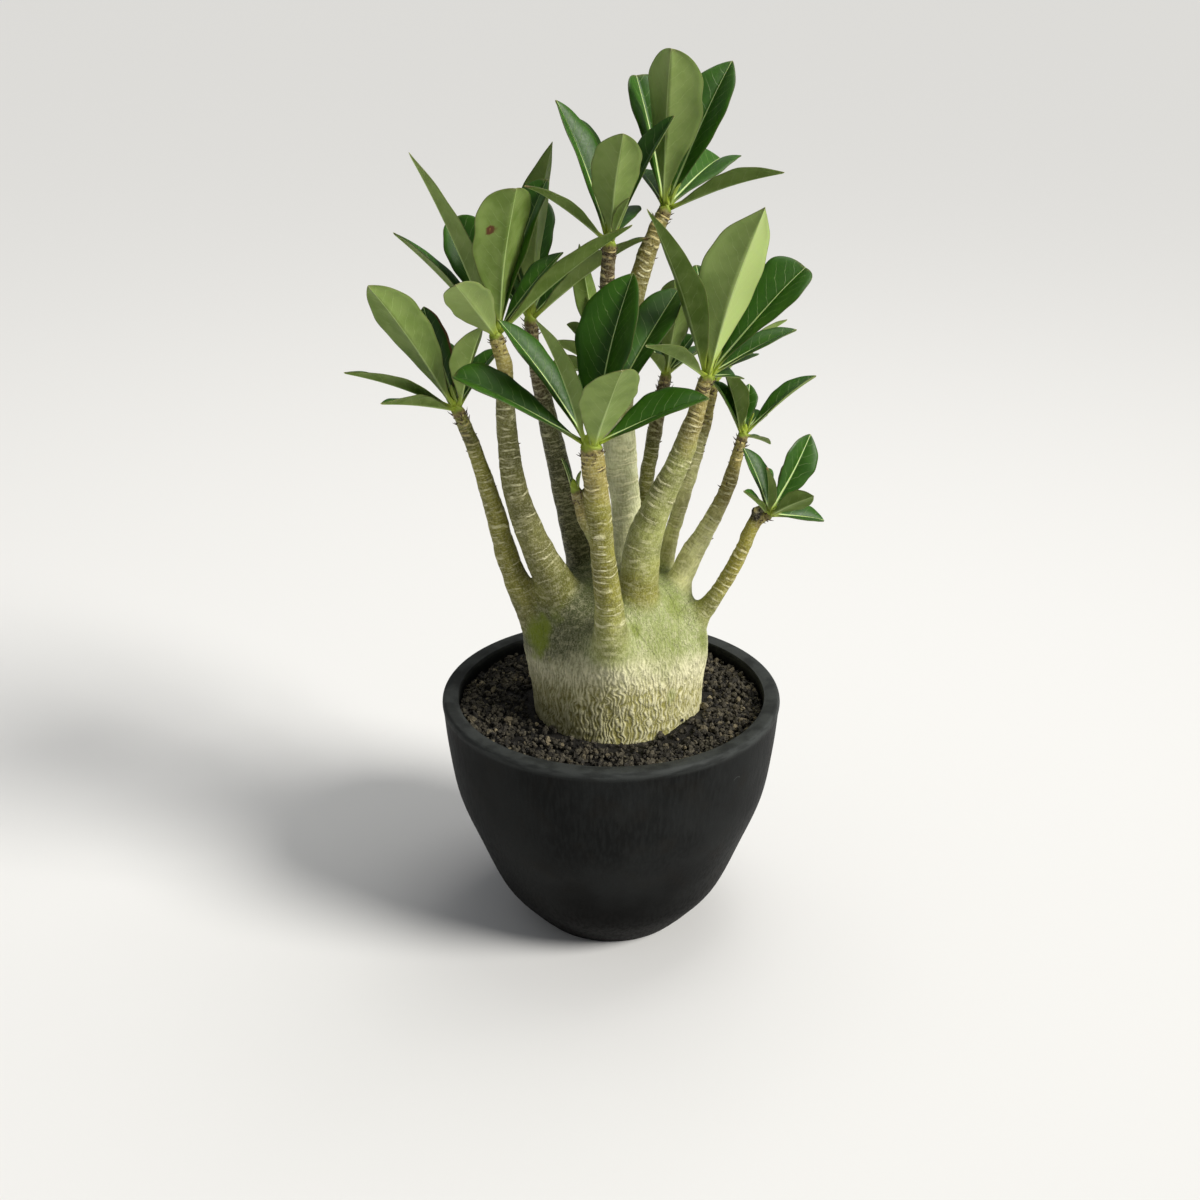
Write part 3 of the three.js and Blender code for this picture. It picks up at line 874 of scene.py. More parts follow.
@dataclass(frozen=True)
class GritFill:
    """The grit: a bed that fills the pot round the root, with loose grains on top of it."""

    level: float = 126.0
    caudex: Span = (3.4, 1.5)
    root_hole: float = 44.6
    wall_radius: float = 80.9
    bed_drop: float = 2.4
    heap_height: float = 4.6
    heap_turn: float = -0.66
    heap_spread: float = 0.36
    sides: int = 180
    slow_wave: float = 0.7
    bed_roughness: float = 0.6
    grains: int = 3800
    grain_sizes: Span = (0.85, 2.05)
    large_grains: int = 90
    large_size: float = 2.9
    tan_share: float = 0.045
    seed: int = 11

    def surface(self, x: Array, y: Array) -> Array:
        """The height of the grit.

        It is the level, plus slow noise of under a millimetre, plus a heap against the caudex. The heap is
        a bell curve by the turn from its middle, times one that falls away from the caudex.

        Args:
            x: Across, in millimetres.
            y: Depth, in millimetres.

        Returns:
            The height at each place.
        """
        place = np.stack([x, y, np.zeros_like(x)], axis=-1)
        out_x, out_y = x - self.caudex[0], y - self.caudex[1]
        off_turn = (np.arctan2(out_y, out_x) - self.heap_turn) / self.heap_spread
        off_root = (np.hypot(out_x, out_y) - self.root_hole) / 12.0
        heap = self.heap_height * np.exp(-(off_turn**2) - off_root**2)
        return self.level + self.slow_wave * SolidNoise(3, 17.0).at(place) + heap

    def build(self, finish: Material) -> list[Piece]:
        """Makes the bed and its loose grains.

        Args:
            finish: What the grit wears.

        Returns:
            The bed and the grains.
        """
        bed = self.bed(finish)
        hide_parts("soil")
        return [bed, self.loose_grains(finish)]

    def bed(self, finish: Material) -> Piece:
        """Turns the bed, whose inner edge is centred on the caudex and its outer edge on the pot.

        Args:
            finish: What it wears.

        Returns:
            The bed.
        """
        top = np.linspace(self.wall_radius, self.root_hole, 26)
        outside = [
            (0.0, 5.3), (31.8, 5.3), (37.7, 7.3), (45.6, 14.3), (56.6, 28.3), (68.0, 53.6), (77.6, 80.3),
            (80.6, 104.3), (80.9, 118.0),
        ]
        hole = [(44.6, 118.0), (43.3, 112.0), (38.3, 98.0), (28.3, 86.7), (14.3, 80.7), (0.0, 78.7)]
        profile = np.vstack([outside, np.stack([top, np.full_like(top, self.level)], axis=-1), hole])
        share = np.concatenate(
            [np.zeros(len(outside)), np.linspace(0.0, 1.0, len(top)) ** 2, np.ones(len(hole))]
        )
        corners, faces = turned(profile, self.sides, share[:, None] * np.array(self.caudex))
        on_top = np.abs(corners[:, 2] - self.level) < 0.01
        x, y = corners[on_top, 0], corners[on_top, 1]
        rough = SolidNoise(5, 2.2).at(corners[on_top] * [1.0, 1.0, 0.0])
        corners[on_top, 2] = self.surface(x, y) - self.bed_drop + self.bed_roughness * rough
        # Painted shade: the bed takes the darkest grain colour, for the gaps between the loose grains.
        tones = np.zeros_like(corners)
        tones[:, 0] = 0.02
        return Surface(corners, faces, {"grain_tone": tones}).as_piece("grit_bed", "grit", [finish])

    def loose_grains(self, finish: Material) -> Piece:
        """Scatters the grains.

        A grain is a ball of four rings of six corners, each pushed in or out at random, then squashed and
        turned. Places are even over the ring between the root and the wall, from the square root of an
        even draw.

        Args:
            finish: What they wear.

        Returns:
            All of them, as one piece.
        """
        random = np.random.default_rng(self.seed)
        count = self.grains + self.large_grains
        size = random.uniform(*self.grain_sizes, count) * random.uniform(0.8, 1.0, count)
        size[-self.large_grains :] = self.large_size * random.uniform(0.75, 1.0, self.large_grains)
        turn = random.uniform(0.0, 2.0 * np.pi, count)
        inner = self.root_hole - 0.5
        outer = self.wall_radius - 0.6 * size
        spread = np.sqrt(random.uniform(0.0, 1.0, count))
        radius = inner + (outer - inner) * spread
        share = ((self.wall_radius - radius) / (self.wall_radius - inner))[:, None] ** 2
        middle = radius[:, None] * around(turn, RIGHT, BACK)[:, :2] + share * np.array(self.caudex)
        height = self.surface(middle[:, 0], middle[:, 1]) + random.uniform(-1.7, 0.3, count)
        middle = np.concatenate([middle, height[:, None]], axis=-1)

        tilt = np.pi * np.array([0.22, 0.41, 0.6, 0.79])
        step = even_turns(6)
        ball = np.sin(tilt)[:, None, None] * around(step, RIGHT, BACK) - np.cos(tilt)[:, None, None] * UP
        rough = random.uniform(0.62, 1.16, (count, 4, 6, 1))
        squash = random.uniform(0.62, 1.2, (count, 1, 1, 3))
        shape = ball[None] * rough * squash * size[:, None, None, None]
        frames = np.linalg.qr(random.normal(size=(count, 3, 3)))[0]
        frames[:, :, 0] *= np.sign(np.linalg.det(frames))[:, None]
        shape = np.einsum("cij,cabj->cabi", frames, shape)
        corners, faces = tubes(shape + middle[:, None, None])
        per_grain = len(corners) // count
        tone = random.beta(1.2, 2.4, count)
        is_tan = random.uniform(size=count) < self.tan_share
        tan = np.where(is_tan, random.uniform(0.4, 1.0, count), 0.0)
        tan[-self.large_grains :] = random.uniform(0.0, 0.55, self.large_grains)
        marks = np.repeat(np.stack([tone, tan, 0.0 * tone], axis=-1), per_grain, axis=0)
        grains = Surface(corners, faces, {"grain_tone": marks})
        return grains.as_piece("grit_grains", "grit", [finish], smooth=False)


# ---- The branches


class Tone(Enum):
    """The colours of the bark."""

    OLIVE = (0.17, 0.17, 0.028)
    GREY_OLIVE = (0.18, 0.175, 0.048)
    PALE_OLIVE = (0.35, 0.37, 0.12)
    CREAM_OLIVE = (0.76, 0.75, 0.36)
    DARK_OLIVE = (0.08, 0.082, 0.026)
    GREY_GREEN = (0.66, 0.67, 0.42)
    GOLDEN = (0.32, 0.265, 0.07)
    GREEN_GOLD = (0.26, 0.245, 0.035)
    YELLOW_OLIVE = (0.38, 0.34, 0.05)
    BROWN = (0.1, 0.068, 0.026)
    BLACK_BROWN = (0.02, 0.012, 0.007)
    LOW_BAND = (0.4, 0.365, 0.1)
    COLLAR = (0.6, 0.58, 0.37)
    # Painted shade and painted light for the caudex's left and right sides.
    SHADE_SIDE = (0.058, 0.07, 0.017)
    SUN_SIDE = (0.335, 0.39, 0.138)


@dataclass(frozen=True)
class Branch:
    """A branch: a line of (x, y, z, radius) points up its middle, from inside the caudex to its tip.

    Attributes:
        line: The points.
        tone: The bark's colour.
        tip_tone: Its colour below the leaves.
        tip_length: How far down from the tip that colour reaches.
        ragged: How thickly dried leaf bases stand on its upper part, from 0 to 1.
        foot_tone: Its colour where it leaves the caudex.
        scars: How strongly its leaf scars show, from 0 to 1.
    """

    line: tuple
    tone: Tone
    tip_tone: Tone = Tone.GOLDEN
    tip_length: float = 18.0
    ragged: float = 0.35
    foot_tone: Tone = Tone.PALE_OLIVE
    scars: float = 1.0

    def sampled(self, spacing: float) -> tuple[Array, Array, Array]:
        """Follows the centripetal Catmull-Rom curve through the points.

        The knots are the square root of the distance apart, and beyond each end the line goes straight on.

        Args:
            spacing: About how far apart the samples are.

        Returns:
            The samples' (x, y, z, radius) rows, their directions, and how far each is from the start.
        """
        points = np.array(self.line, float)
        known = np.vstack([2.0 * points[0] - points[1], points, 2.0 * points[-1] - points[-2]])
        gaps = np.sqrt(np.linalg.norm(np.diff(known[:, :3], axis=0), axis=1))
        rows = []
        for i in range(1, len(known) - 2):
            before, start, end, after = known[i - 1 : i + 3]
            gap0, gap1, gap2 = gaps[i - 1 : i + 2]
            leave = ((start - before) / gap0 - (end - before) / (gap0 + gap1) + (end - start) / gap1) * gap1
            arrive = ((end - start) / gap1 - (after - start) / (gap1 + gap2) + (after - end) / gap2) * gap1
            steps = max(2, round(np.linalg.norm((end - start)[:3]) / spacing))
            share = (np.arange(steps) / steps)[:, None]
            rows.append(cubic(start, end, leave, arrive, share))
        path = np.vstack([*rows, points[-1:]])
        direction = unit(np.gradient(path[:, :3], axis=0))
        direction[-1] = unit(points[-1, :3] - points[-2, :3])
        steps = np.linalg.norm(np.diff(path[:, :3], axis=0), axis=1)
        return path, direction, np.concatenate([[0.0], np.cumsum(steps)])


BRANCHES = {
    "far_left": Branch(
        (
            (-27, -3, 156, 13), (-43, -8, 186, 7.2), (-53, -10, 215, 5.7), (-58, -11, 237, 5.1),
            (-63, -12, 257, 4.1), (-70, -13, 280, 3.6), (-74, -14, 291, 3.3),
        ),
        Tone.GREEN_GOLD, Tone.OLIVE, ragged=0.8, foot_tone=Tone.GREY_OLIVE, scars=0.6,
    ),
    "left_front": Branch(
        (
            (-17, -5, 168, 16), (-26, -12, 196, 10.3), (-36, -14, 217, 8.1), (-48, -16, 255, 6),
            (-51, -18, 294, 4.7), (-51, -19, 316, 3.8), (-54, -20, 329, 3.5),
        ),
        Tone.GREY_OLIVE, Tone.GOLDEN, foot_tone=Tone.OLIVE, scars=0.75,
    ),
    "left_back": Branch(
        (
            (-8, 14, 170, 15), (-14, 17, 195, 9), (-21, 19, 224, 6.7), (-30, 21, 266, 5.5),
            (-34, 22, 286, 4.6), (-39, 23, 313, 3.7), (-40, 23, 326, 3.5),
        ),
        Tone.DARK_OLIVE, Tone.BROWN, 36.0, ragged=0.9, foot_tone=Tone.DARK_OLIVE, scars=0.35,
    ),
    "front": Branch(
        (
            (3, -26, 160, 14), (0, -40, 177, 9.5), (-1, -46, 203, 7), (-4, -50, 231, 6),
            (-7, -56, 266, 5.9), (-9, -59, 287, 5.3),
        ),
        Tone.GREEN_GOLD, Tone.GOLDEN, 24.0, ragged=0.2,
    ),
    "trunk": Branch(
        (
            (5, 0, 176, 18), (7, 2, 207, 10.4), (8, 2, 231, 7.6), (5, 2, 259, 8.2), (4, 2, 276, 7.6),
            (3, 2, 292, 5.5),
        ),
        Tone.GREY_GREEN, Tone.GREY_GREEN, ragged=0.0, foot_tone=Tone.GREY_GREEN, scars=0.8,
    ),
    "crown_left": Branch(
        ((4, 2, 270, 6), (1, 1, 300, 5), (-2, -1, 329, 4), (-2, -4, 352, 3.5), (-1, -6, 370, 3.4)),
        Tone.GREY_OLIVE, Tone.BROWN, 30.0, ragged=0.5,
    ),
    "crown_top": Branch(
        ((4, 2, 270, 7), (6, 3, 312, 5.6), (12, 7, 346, 4.9), (18, 10, 366, 4.4), (25, 14, 382, 3.5)),
        Tone.GREY_OLIVE, Tone.GOLDEN, 40.0, ragged=0.5,
    ),
    "crown_back": Branch(
        ((4, 3, 258, 5), (3, 12, 278, 4.2), (-1, 24, 290, 3.6), (-3, 30, 298, 3.4)),
        Tone.GREY_OLIVE,
    ),
    "back": Branch(
        ((8, 22, 170, 12), (14, 30, 204, 5.3), (18, 34, 236, 4), (23, 38, 266, 3.8), (28, 40, 293, 3.1)),
        Tone.OLIVE, Tone.BROWN, 28.0, ragged=1.0, scars=0.5,
    ),
    "right_front": Branch(
        (
            (9, -14, 170, 17), (14, -21, 205, 10.2), (16, -23, 227, 9), (24, -24, 250, 7),
            (33, -24, 270, 5.8), (41, -24, 295, 4.3), (45, -24, 310, 3.4),
        ),
        Tone.PALE_OLIVE, Tone.GOLDEN, 34.0, ragged=0.3, foot_tone=Tone.GREEN_GOLD,
    ),
    "right_back": Branch(
        (
            (20, 14, 166, 13), (28, 18, 199, 5.4), (33, 19, 220, 4), (42, 20, 252, 3.6), (48, 21, 275, 3.3),
            (51, 22, 293, 3.1),
        ),
        Tone.CREAM_OLIVE, Tone.GOLDEN, 30.0, foot_tone=Tone.CREAM_OLIVE,
    ),
    "right": Branch(
        (
            (22, -2, 166, 14), (33, -1, 191, 7.3), (42, 1, 212, 5.8), (51, 3, 228, 4.5), (60, 6, 248, 3.7),
            (66, 8, 271, 2.8),
        ),
        Tone.CREAM_OLIVE, Tone.GOLDEN, 40.0, ragged=0.9, foot_tone=Tone.CREAM_OLIVE,
    ),
    "stub": Branch(
        (
            (30, -7, 155, 13), (42, -10, 175, 6.2), (52, -12, 191, 4.4), (60, -14, 206, 3.8),
            (68, -17, 226, 3.4), (73, -18, 242, 2.4),
        ),
        Tone.YELLOW_OLIVE, Tone.BLACK_BROWN, 5.0, ragged=0.2, foot_tone=Tone.PALE_OLIVE,
    ),
    "far_right": Branch(((68, -17, 229, 2.4), (72, -18, 236, 2.5), (77, -18, 239, 2.4)), Tone.YELLOW_OLIVE),
    "bud": Branch(((-5, -51, 238, 3.2), (-12, -54, 249, 3.2), (-16, -54, 264, 2.8)), Tone.YELLOW_OLIVE),
}


@dataclass(frozen=True)
class Caudex:
    """The swollen base of the plant, on its blunt root.

    Attributes:
        middle: The (x, y) of its axis.
        profile: Its (radius, height) points, from the root's blunt end to the top of the shoulder.
        swell_by_four: How far four swells round it go, as a share of the radius.
        swell_by_seven: The same for seven smaller ones.
        swell_start: The height where the swells start.
        swell_full: The height from which they have their full size.
        green_patches: (x, y, z, radius, strength) of the bright green patches on its skin.
    """

    middle: Span = (3.4, 1.5)
    profile: tuple = (
        (0.0, 79.0), (14.0, 81.0), (28.0, 87.0), (38.0, 98.0), (43.0, 112.0), (44.5, 126.0), (45.5, 142.0),
        (46.5, 156.0), (45.5, 167.0), (40.0, 180.0), (30.0, 193.0), (16.0, 200.5), (0.0, 203.0),
    )
    swell_by_four: float = 0.025
    swell_by_seven: float = 0.015
    swell_start: float = 134.0
    swell_full: float = 166.0
    green_patches: tuple = (
        (-37.0, -19.0, 174.0, 12.0, 0.9), (12.0, -37.0, 185.0, 5.0, 0.65), (46.0, -13.0, 169.0, 8.0, 0.6),
        (31.0, -34.5, 148.0, 4.2, 0.5), (-30.0, -26.0, 188.0, 7.0, 0.5), (34.0, -18.0, 191.0, 10.0, 0.5),
        (27.0, -34.0, 173.0, 16.0, 0.35), (8.0, -42.0, 172.0, 12.0, 0.25),
    )

    def depth(self, points: Array) -> Array:
        """How far each place is outside the caudex, or inside it where negative.

        The distance to the rounded profile is worked out once on a grid of radius and height, and each
        place reads the grid with straight weights, after the swelling has been taken out of its radius.

        Args:
            points: Places in millimetres.

        Returns:
            The distance of each.
        """
        low, top, widest, step = 60.0, 250.0, 140.0, 0.5
        radii, heights = np.meshgrid(np.arange(0.0, widest, step), np.arange(low, top, step), indexing="ij")
        grid = self.distance(radii, heights)
        x, y = points[..., 0] - self.middle[0], points[..., 1] - self.middle[1]
        turn = np.arctan2(y, x)
        rise = smoothstep(points[..., 2], self.swell_start, self.swell_full)
        swell = 1.0 + rise * (self.swell_by_four * np.cos(4 * turn) + self.swell_by_seven * np.sin(7 * turn))
        across = np.clip(np.hypot(x, y) / swell / step, 0.0, grid.shape[0] - INSIDE_LAST)
        up = np.clip((points[..., 2] - low) / step, 0.0, grid.shape[1] - INSIDE_LAST)
        column, row = across.astype(int), up.astype(int)
        right, above = across - column, up - row
        lower = grid[column, row] * (1.0 - right) + grid[column + 1, row] * right
        upper = grid[column, row + 1] * (1.0 - right) + grid[column + 1, row + 1] * right
        return lower * (1.0 - above) + upper * above

    def distance(self, radius: Array, height: Array) -> Array:
        """The distance of each (radius, height) from the rounded profile, negative inside it.

        Args:
            radius: How far each place is from the axis.
            height: How high it is.

        Returns:
            The distance of each place.
        """
        outline = smooth_profile(list(self.profile), 3)
        nearest = np.full(radius.shape, np.inf)
        for (r0, z0), (r1, z1) in zip(outline, outline[1:]):
            length = (r1 - r0) ** 2 + (z1 - z0) ** 2
            share = np.clip(((radius - r0) * (r1 - r0) + (height - z0) * (z1 - z0)) / length, 0.0, 1.0)
            gap = (radius - r0 - share * (r1 - r0)) ** 2 + (height - z0 - share * (z1 - z0)) ** 2
            nearest = np.minimum(nearest, gap)
        width = np.interp(height, outline[:, 1], outline[:, 0], left=-1.0, right=-1.0)
        return np.sqrt(nearest) * np.where(radius < width, -1.0, 1.0)


@dataclass(frozen=True)
class Nearness:
    """Where places lie along the branches.

    Attributes:
        depth: How far each place is outside its nearest branch.
        branch: Which branch that is.
        along: How far up the branch the place lies.
        from_tip: How far below the branch's tip it lies.
        aside: The (u, v) of the place across the branch.
        radius: The branch's radius there.
        rival: How far each place is outside its second nearest branch.
    """

    depth: Array
    branch: Array
    along: Array
    from_tip: Array
    aside: Array
    radius: Array
    rival: Array


@dataclass(frozen=True)
class PlantBody:
    """The caudex and its branches, grown as one.

    The skin is the surface where a distance field is zero. The field of a branch is the distance to its
    line less its radius, and the fields are joined by a smooth minimum, so that each branch runs into the
    caudex in a fillet. Relief is then moved along the normals. The skin is made in portions, one above
    another. Near each cut both portions narrow by a tenth of a millimetre and run on inside each other.
    """

    branches: dict[str, Branch]
    caudex: Caudex
    portions: tuple = (
        ("shoulders", 174.0, 212.0, 0.72),
        ("branches", 212.0, 268.0, 0.68),
        ("branch_tops", 268.0, 390.0, 0.68),
    )
    overlap: float = 3.0
    low_blend: float = 11.0
    high_blend: float = 2.4
    blend_heights: Span = (182.0, 230.0)
    reach: float = 5.0
    near_margin: float = 22.0
    batch: int = 20000
    beside: float = 12.0
    caudex_reach: Span = (-52.0, 58.0)
    settling: int = 3
    stem_edge: float = 9.0
    coarse_height: float = 0.35
    fine_height: float = 0.12
    torn_height: float = 1.4
    torn_reach: Span = (-5.0, 0.0)
    scar_half: float = 0.55
    band_fade: Span = (-5.0, 7.0)
    wrinkle_fade: Span = (6.0, 44.0)
    buried: Span = (118.0, 126.0)
    tip_reach: Span = (-30.0, -6.0)
    band_sides: int = 520
    band_row: float = 0.55
    band_foot: float = 119.0
    root_start: float = 82.0
    root_row: float = 2.5
    first_reach: float = 40.0
    most_reach: float = 60.0
    rounds: int = 12
    tier_least: float = 2.8
    tier_growth: float = 0.036
    tier_relief: float = 0.26
    foot_heights: Span = (26.0, 62.0)
    comb_count: int = 146
    comb_relief: float = 0.46
    band_top: float = 157.0
    band_rise: float = 14.0
    collar_heights: Span = (-22.0, -5.0)
    sun_reach: Span = (-24.0, 16.0)
    coarse_lumps: SolidNoise = SolidNoise(21, 6.0)
    fine_lumps: SolidNoise = SolidNoise(22, 2.4)
    torn_fibres: SolidNoise = SolidNoise(24, 1.5)
    tier_bend: SolidNoise = SolidNoise(25, 5.5)
    tier_waver: SolidNoise = SolidNoise(26, 2.2)
    tier_pace: SolidNoise = SolidNoise(27, 1.0)
    tier_gaps: SolidNoise = SolidNoise(28, 1.0)
    tone_edge: SolidNoise = SolidNoise(41, 6.0)
    tone_drift: SolidNoise = SolidNoise(44, 9.0)
    band_edge: SolidNoise = SolidNoise(42, 9.0)
    green_edge: SolidNoise = SolidNoise(43, 3.5)
    sun_edge: SolidNoise = SolidNoise(45, 11.0)
    comb_bend: SolidNoise = SolidNoise(71, 6.5)
    comb_waver: SolidNoise = SolidNoise(72, 2.3)
    comb_cells: SolidNoise = SolidNoise(73, 1.35)

    def nearness(self, points: Array) -> Nearness:
        """Finds the nearest branch of each place, and where on it the place lies.

        Args:
            points: Places in millimetres, one to a row.

        Returns:
            Where each place lies.
        """
        depth, branch, along, from_tip, radius, rival = (
            np.full(len(points), start) for start in (FAR, 0, 0.0, 0.0, 1.0, FAR)
        )
        best = Nearness(depth, branch, along, from_tip, np.zeros((len(points), 2)), radius, rival)
        for index, branch in enumerate(self.branches.values()):
            path = branch.sampled(2.0)[0]
            low = path[:, :3].min(axis=0) - self.near_margin
            high = path[:, :3].max(axis=0) + self.near_margin
            near = np.flatnonzero(np.all((points > low) & (points < high), axis=1))
            for start in range(0, len(near), self.batch):
                rows = near[start : start + self.batch]
                self.measure(best, rows, points[rows], index, branch)
        return best

    @staticmethod
    def measure(best: Nearness, rows: Array, places: Array, index: int, branch: Branch) -> None:
        """Measures some places against one branch, and keeps what is nearer than before.

        Args:
            best: What is known so far, which is changed.
            rows: Which of its rows the places are.
            places: The places.
            index: The branch's number.
            branch: The branch.
        """
        path, direction, along = branch.sampled(2.0)
        side, across = sides_of(direction)
        start, step = path[:-1, :3], np.diff(path[:, :3], axis=0)
        share = (places @ step.T - np.sum(start * step, axis=1)) / np.sum(step**2, axis=1)
        share = np.clip(share, 0.0, 1.0)
        foot = start[None] + share[..., None] * step[None]
        radius = path[:-1, 3] + share * np.diff(path[:, 3])
        depth = np.linalg.norm(places[:, None] - foot, axis=-1) - radius
        chosen = np.argmin(depth, axis=1)
        row = np.arange(len(places))
        nearest = depth[row, chosen]
        best.rival[rows] = np.minimum(best.rival[rows], np.maximum(best.depth[rows], nearest))
        closer = nearest < best.depth[rows]
        rows, row, chosen = rows[closer], row[closer], chosen[closer]
        out = places[row] - foot[row, chosen]
        up = along[chosen] + share[row, chosen] * np.diff(along)[chosen]
        best.depth[rows] = nearest[closer]
        best.branch[rows] = index
        best.along[rows] = up
        best.from_tip[rows] = along[-1] - up
        best.aside[rows, 0] = np.sum(out * side[chosen], axis=-1)
        best.aside[rows, 1] = np.sum(out * across[chosen], axis=-1)
        best.radius[rows] = radius[row, chosen]

    def field(self, bottom: float, top: float, cell: float) -> tuple[Array, Array]:
        """Fills a box between two heights with the joined distance field.

        The smooth minimum of two distances is the lesser, less a quarter of the blend times the square of
        how nearly equal they are, as a share of the blend.

        Args:
            bottom: The lowest height.
            top: The highest.
            cell: How far apart the places are.

        Returns:
            The field by x, y and z, and its lowest corner.
        """
        paths = [branch.sampled(4.0)[0] for branch in self.branches.values()]
        rows = np.vstack(paths)
        rows = rows[(rows[:, 2] > bottom - self.beside) & (rows[:, 2] < top + self.beside)]
        low = (rows[:, :2] - rows[:, 3:] - 4.0).min(axis=0)
        high = (rows[:, :2] + rows[:, 3:] + 4.0).max(axis=0)
        caudex_top = self.caudex.profile[-1][1]
        if bottom < caudex_top:
            low, high = np.minimum(low, self.caudex_reach[0]), np.maximum(high, self.caudex_reach[1])
        axes = [np.arange(a, b, cell) for a, b in zip((*low, bottom), (*high, top))]
        shape = tuple(len(axis) for axis in axes)
        blend = self.low_blend + (self.high_blend - self.low_blend) * smoothstep(axes[2], *self.blend_heights)
        total = np.full(shape, FAR, np.float32)
        lower = axes[2] < caudex_top + self.beside
        if lower.any():
            places = np.stack(np.meshgrid(*axes[:2], axes[2][lower], indexing="ij"), -1)
            total[:, :, lower] = self.caudex.depth(places)
        for path in paths:
            own = np.full(shape, FAR, np.float32)
            room = path[:, 3] + self.reach + 2.0
            for (*start, r0), (*end, r1), margin in zip(path, path[1:], room):
                start, end = np.array(start), np.array(end)
                first = [np.searchsorted(axis, min(a, b) - margin) for axis, a, b in zip(axes, start, end)]
                last = [np.searchsorted(axis, max(a, b) + margin) for axis, a, b in zip(axes, start, end)]
                if any(a >= b for a, b in zip(first, last)):
                    continue
                box = tuple(slice(a, b) for a, b in zip(first, last))
                x, y, z = np.meshgrid(
                    *(axis[cut] - at for axis, cut, at in zip(axes, box, start)), indexing="ij", sparse=True
                )
                step = end - start
                share = np.clip((x * step[0] + y * step[1] + z * step[2]) / (step @ step), 0.0, 1.0)
                gap = np.sqrt(
                    (x - share * step[0]) ** 2 + (y - share * step[1]) ** 2 + (z - share * step[2]) ** 2
                )
                own[box] = np.minimum(own[box], gap - r0 - share * (r1 - r0))
            near = own < FAR
            close = np.clip(1.0 - np.abs(total - own) / blend, 0.0, 1.0)
            joined = np.minimum(total, own) - 0.25 * blend * close**2
            total = np.where(near, joined, total).astype(np.float32)
        return total, np.array([*low, bottom])

    def narrowing(self, beyond: Array) -> Array:
        """How far the skin is drawn in near a cut: half the square of three tenths of what is beyond it."""
        return 0.5 * np.clip(0.3 * (beyond + 0.5 * self.overlap), 0.0, None) ** 2

    def portion(self, bottom: float, top: float, cell: float) -> Surface:
        """Finds the skin between two heights.

        Each cell that the surface passes through gets one corner, at the mean of where the surface crosses
        the cell's edges, and each crossed edge gets one face, between the four cells round it. The corners
        are then drawn onto the surface.

        Args:
            bottom: The lower cut.
            top: The upper cut.
            cell: The size of a cell.

        Returns:
            The skin, closed across both cuts.
        """
        room = self.overlap + 3.0 * cell
        depths, origin = self.field(bottom - room, top + room, cell)
        heights = origin[2] + cell * np.arange(depths.shape[2])
        for beyond in (bottom - heights, heights - top):
            depths = np.maximum(depths + self.narrowing(beyond), beyond - self.overlap).astype(np.float32)
        corners, faces = surface_net(depths)
        for _ in range(self.settling):
            corners = drawn_to_surface(depths, even_out(corners, faces))
        return Surface(origin + cell * corners, faces.tolist())

    def band(self) -> Surface:
        """The lower caudex and its root, as rings.

        Each corner starts on the caudex's axis and moves straight out by what the field says is left, over
        and over, so it comes to rest on the skin. The rings lie close together above the grit.

        Returns:
            The skin, closed at both ends.
        """
        cut = self.portions[0][1]
        top = cut + self.overlap
        depths, origin = self.field(self.root_start - 6.0, top + 3.0, 1.0)
        buried = np.arange(self.root_start, self.band_foot, self.root_row)
        heights = np.concatenate([buried, np.arange(self.band_foot, top, self.band_row)])
        out = around(even_turns(self.band_sides), RIGHT, BACK)
        middle = np.column_stack([np.tile(self.caudex.middle, (len(heights), 1)), heights])
        reach = np.full((len(heights), self.band_sides), self.first_reach)
        for _ in range(self.rounds):
            places = middle[:, None] + reach[..., None] * out[None]
            left = read_grid(depths, places.reshape(-1, 3) - origin).reshape(reach.shape)
            reach = np.clip(reach - 0.9 * left, 1.0, self.most_reach)
        reach = reach - self.narrowing(heights - cut)[:, None]
        rings = middle[:, None] + reach[..., None] * out[None]
        closing = [middle[-1] + share * (rings[-1] - middle[-1]) for share in (0.9, 0.5)]
        opening = [middle[0] + 0.5 * (rings[0] - middle[0]) - [0.0, 0.0, 1.5]]
        return Surface(*tubes(np.stack([*opening, *rings, *closing])[None]))

    def build(self, finish: Material) -> list[Piece]:
        """Makes the caudex, the shoulders with the feet of the branches, and the branches.

        Args:
            finish: What the plant's body wears.

        Returns:
            The pieces.
        """
        pieces = [self.dressed(self.band()).as_piece("caudex", "bark", [finish])]
        for name, bottom, top, cell in self.portions:
            skin = self.dressed(self.portion(bottom, top, cell))
            pieces.append(skin.as_piece(name, "bark", [finish]))
        for piece in pieces:
            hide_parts("plant_body")
        return pieces

